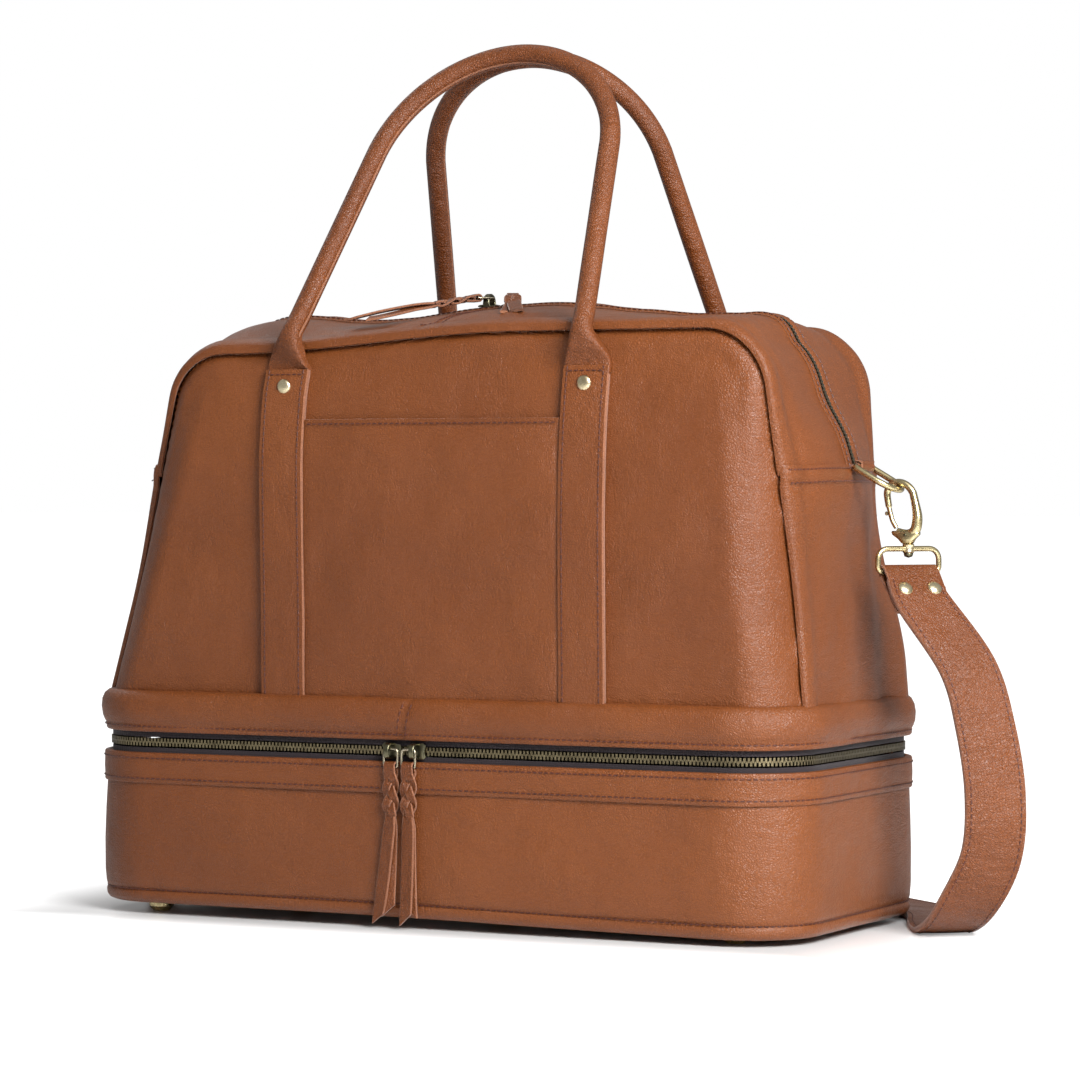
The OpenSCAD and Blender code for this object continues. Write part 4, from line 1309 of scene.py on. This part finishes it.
def hook_pieces(side, x, name):
    """Snap hook with an oval body, a tapered block at its foot and a sprung gate on the bag's side."""
    r_mid = 8.7
    arc_z = hook_z + 4.5 - r_mid
    foot = ring_hi + 3
    block_top = foot + 8.5
    nose = block_top + 14
    body = "hook_" + name
    path = [(-side * 5.6, 0, block_top - 1.2), (side * 1.0, 0, block_top - 2.6),
            (side * 6.0, 0, block_top - 0.4), (side * 8.4, 0, block_top + 5), (side * 9.2, 0, block_top + 11)]
    path += [(side * r_mid * math.cos(a), 0, arc_z + r_mid * math.sin(a))
             for a in np.linspace(0.15, math.pi, 16)]
    path += [(-side * r_mid, 0, nose + 1.5), (-side * (r_mid - 0.2), 0, nose - 0.6)]
    line = curve(path, 1.0) + [x, 0, 0]
    t = np.linspace(0, 1, len(line))
    radius = 2.3 + 1.0 * hill(t - 0.22, 0.17) - 0.3 * smooth((t - 0.75) / 0.25)
    radius[-1] = 1.2
    parts = [wire("part", leant(line, side), radius, (0, 1, 0), BRASS, body, count=16)]
    levels = ((foot, 3.0, 2.4), (foot + 0.6, 3.8, 3.0), (foot + 3, 5.6, 3.3), (block_top - 3, 8.8, 3.3),
              (block_top - 1.4, 9.2, 3.0), (block_top - 0.6, 8.6, 2.4))
    a = np.arange(24) * 2 * math.pi / 24
    wide = np.sign(np.cos(a)) * np.abs(np.cos(a)) ** 0.55
    painted_shade = np.sign(np.sin(a)) * np.abs(np.sin(a)) ** 0.55
    rings = [np.stack([x + w * wide, d * painted_shade, 0 * a + z], -1) for z, w, d in levels]
    rings = leant(np.array(rings), side)
    parts.append(add_tube("part", rings, BRASS, body, sharp=60))
    stud = [(0.05, 4.6), (1.4, 4.4), (1.4, -1.6), (2.6, -2.0), (3.0, -3.2), (2.4, -4.8), (0.05, -5.6)]
    parts.append(turned("part", stud, (x, 0, ring_hi), (0, 0, 1), DARK_METAL, body))
    pin = [(0.05, 3.8), (0.7, 3.75), (1.0, 3.5), (1.0, -3.5), (0.7, -3.75), (0.05, -3.8)]
    pin_at = (x - side, 0, block_top - 3)
    parts.append(turned("part", pin, pin_at, (0, 1, 0), DARK_METAL, body))
    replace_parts(join("hook_brass_" + name, parts, body), "hook_" + name)
    gate_x = x - side * r_mid
    bar = [(gate_x + side * 2.8, 0, block_top + 1.2), (gate_x + side * 0.9, 0, block_top + 6),
           (gate_x, 0, nose - 0.4)]
    bar = leant(curve(bar, 1.0), side)
    gate_parts = [wire("part", bar, 1.5, (0, 1, 0), BRASS, "gate_" + name)]
    knob = [(0.05, 1.9), (0.9, 1.7), (1.3, 1.0), (1.0, 0), (0.05, 0)]
    place = leant(np.array([gate_x - side * 1.2, 0, nose - 4]), side)
    gate_parts.append(turned("part", knob, place, (-side, 0, 0), BRASS, "gate_" + name))
    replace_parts(join("gate_brass_" + name, gate_parts, "gate_" + name), "gate_" + name)


def strap_ring_piece(x, yaw, name):
    """Flat wire ring with a collar that the hook's stud turns in."""
    w = 21.0
    c, s = math.cos(math.radians(yaw)), math.sin(math.radians(yaw))
    loop = []
    for sx, sz, start, corner in ((1, 1, 90, 6.5), (1, -1, 0, 3), (-1, -1, -90, 3), (-1, 1, -180, 6.5)):
        cz = (ring_hi if sz > 0 else ring_lo) - sz * corner
        for a in np.radians(np.linspace(start, start - 90, 8)):
            loop.append((sx * (w - corner) + corner * math.cos(a), cz + corner * math.sin(a)))
    flat = resample(loop + loop[:1], 1.5)[:-1]
    points = np.stack([x + flat[:, 0] * c, flat[:, 0] * s, flat[:, 1]], -1)
    ring = wire("part", points, 1.75, (-s, c, 0), BRASS, "shoulder_strap", True, 14)
    collar = [(1.7, 3.0), (3.2, 3.0), (3.7, 2.4), (3.2, 1.2), (3.2, -1.2), (3.7, -2.0), (3.2, -2.6),
              (1.7, -2.6)]
    boss = turned("part", collar, (x, 0, ring_hi), (0, 0, 1), RIVET, "shoulder_strap")
    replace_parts(join("strap_ring_brass_" + name, [ring, boss], "shoulder_strap"), "strap_ring_" + name)


# ------------------------------------------------------------------ shoulder strap

strap_w = 38.0
strap_t = 3.6
end_y = 2.7
hook_x = {"right": 279.0, "left": -249.5}
strap_yaw = {"right": 50.0, "left": -78.0}
strap_lean = {"right": 40.0, "left": 20.0}


def end_axes(name):
    """Axes of a strap end: across the strap, inwards, and up along it."""
    yaw, lean = math.radians(strap_yaw[name]), math.radians(-strap_lean[name])
    across = np.array([math.cos(yaw), math.sin(yaw), 0])
    inwards = np.array([-math.sin(yaw) * math.cos(lean), math.cos(yaw) * math.cos(lean), math.sin(lean)])
    return np.array([across, inwards, np.cross(across, inwards)])


def end_point(name, along):
    return placed([(0, -end_y, -along)], (hook_x[name], 0, ring_lo), end_axes(name))[0]


def strap_line():
    """Middle line of the shoulder strap and the direction across it, from the right end round the back."""
    lay = strap_t / 2
    back_y = half_d + 58
    route = [
        (322, -12, 165, 46), (334, -13, 128, 42), (340, -13, 88, 38), (336, -10, 50, 35), (317, -5, 17, 34),
        (297, 16, lay + 1, 36), (279, 50, lay, 37), (258, 97, lay, 40), (218, 143, lay, 60),
        (160, back_y - 3, lay, 82), (0, back_y, lay, 90), (-160, back_y - 3, lay, 98), (-222, 143, lay, 122),
        (-262, 102, lay, 140), (-286, 74, lay + 1, 143), (-298, 58, 18, 140), (-300, 49, 48, 133),
        (-292, 34, 92, 122), (-279, 17, 138, 108)]
    first = [tuple(end_point("right", a)) + (strap_yaw["right"],) for a in (12, 26)]
    last = [tuple(end_point("left", a)) + (180 + strap_yaw["left"],) for a in (26, 12)]
    line = curve(first + route + last, 4.0)
    turn = np.radians(line[:, 3])
    points = line[:, :3]
    along = directions(points)
    across = square_to(np.stack([np.cos(turn), np.sin(turn), 0 * turn], -1), along)
    out = np.cross(across, along)
    return points, across, out


def shoulder_strap_pieces():
    body = "shoulder_strap"
    points, across, out = strap_line()
    if np.sum(out[5] * [1, 0, 0]) < 0:
        out = -out
    rings = carry(points, across, out, strip_profile(strap_w, strap_t, 0.4))
    parts = [leather_strip("part", rings, SUPPLE, body)]
    rows = []
    for face in (-1, 1):
        for s in (-1, 1):
            lift = strap_t / 2 + (0.12 if face > 0 else -0.05)
            rows.append((points + across * s * (strap_w / 2 - 3.4) + out * face * lift, out * face))
    rivets = []
    for name in ("right", "left"):
        axes = end_axes(name)
        origin = (hook_x[name], 0, ring_lo)
        r = 3.3
        turn = [(0, r * math.sin(a), r * math.cos(a)) for a in np.linspace(-1.4, 1.4, 9)]
        fold = [(0, -end_y, -30), (0, -end_y - 0.4, -18), (0, -r - 0.2, -5)] + turn
        fold += [(0, r - 0.2, -5), (0, 1.6, -16), (0, 0.9, -31)]
        line = curve(fold, 1.4)
        side = np.tile([1.0, 0, 0], (len(line), 1))
        rings = carry(line, side, np.cross(directions(line), side), strip_profile(strap_w - 1, 2.2))
        rings = placed(rings, origin, axes)
        parts.append(leather_strip("part", rings, SUPPLE, body))
        for x in (-10, 10):
            place = placed([(x, -end_y - 2.1, -17)], origin, axes)[0]
            head = turned("rivet", rivet_outline(rivet_r), place, -axes[1], RIVET, body)
            behind = placed([(x, 2.6, -17)], origin, axes)[0]
            back = turned("rivet", rivet_outline(rivet_r - 1), behind, axes[1], RIVET, body)
            rivets += [head, back]
    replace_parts(join("shoulder_strap_leather", parts, body), "shoulder_strap")
    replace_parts(join("strap_rivet_heads", rivets, body), "strap_rivets")
    add_stitches("shoulder_strap_stitches", rows, body, 4.2)


# ------------------------------------------------------------------ the whole bag

def paint_frame_nodes():
    """Finishes of the CAD nodes that stay in view."""
    finishes = {
        "base_board": BOARD, "divider_board": LINING, "feet": BRASS,
        "low_tape_base": TAPE, "low_tape_upper": TAPE}
    for node, material in finishes.items():
        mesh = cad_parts[node].data
        mesh.materials.clear()
        mesh.materials.append(material)


def build():
    base_wall_piece()
    base_floor_piece()
    base_lining_piece()
    zip_strip_piece()
    hinge_strip_piece()
    band_piece()
    compartment_zip()
    for side, name in ((-1, "front"), (1, "back")):
        face_panel(side, name + "_panel_leather", name + "_panel")
        gusset_piece(side, "gusset_leather_" + name, "gusset_" + name)
        handle_piece(side, "handle_leather_" + name, f"handle_{name}_cover", "handle_" + name)
        for sx, hand in ((-1, "left"), (1, "right")):
            handle_strap(sx, side, f"strap_leather_{name}_{hand}", f"strap_{name}_{hand}")
    for right, name in ((False, "left"), (True, "right")):
        side_piece(right, "side_leather_" + name, "side_panel_" + name)
    top_zip()
    main_lining_piece()
    pocket_piece()
    handle_rivet_pieces()
    compartment_sliders()
    top_sliders()
    for side, name in ((-1, "left"), (1, "right")):
        x = hook_x[name]
        far_x = x - side * 5.8
        bar = (far_x - side * d_reach * math.cos(d_tip), hook_z + d_reach * math.sin(d_tip))
        tab_piece(side, "tab_leather_" + name, "tab_" + name, bar)
        d_ring_piece(side, "d_ring_brass_" + name, "d_ring_" + name, bar, "d_ring_" + name)
        hook_pieces(side, x, name)
        strap_ring_piece(x, strap_yaw[name], name)
    shoulder_strap_pieces()
    paint_frame_nodes()


def add_floor():
    """White, slightly glossy studio floor with painted light: away from the bag it glows for the camera
    alone, so it fades into the backdrop there.
    """
    n = Nodes("floor")
    tint = n.mix(n.ramp(n.noise(0.8, 2, 0.5), 0.3, 0.7), (0.88, 0.88, 0.88, 1), (0.90, 0.90, 0.90, 1))
    split = n.add("ShaderNodeSeparateXYZ", Vector=n.place)
    beside = n.maths("DIVIDE", n.maths("ABSOLUTE", split.outputs[0], 0.0), 0.27)
    before = n.maths("DIVIDE", n.maths("ABSOLUTE", split.outputs[1], 0.0), 0.13)
    # Painted light: the floor glows for the camera away from the bag, whitening it and washing out the lamps'
    # shadows there, while it keeps its shade near the bag.
    glow = n.ramp(n.maths("MAXIMUM", beside, before), 0.9, 1.35, 0.0, 0.75)
    glow = n.maths("MULTIPLY", glow, n.add("ShaderNodeLightPath").outputs["Is Camera Ray"])
    material = n.finish(
        Base_Color=tint, Roughness=0.14, Specular_IOR_Level=0.22, Emission_Color=(1, 1, 1, 1),
        Emission_Strength=glow)
    reach = 30
    corners = [(-reach, -reach, 0), (reach, -reach, 0), (reach, reach, 0), (-reach, reach, 0)]
    mesh = bpy.data.meshes.new("floor")
    mesh.from_pydata(corners, [], [(0, 1, 2, 3)])
    mesh.materials.append(material)
    floor = bpy.data.objects.new("floor", mesh)
    floor.location.z = -0.0002
    bpy.context.collection.objects.link(floor)


build()
add_floor()
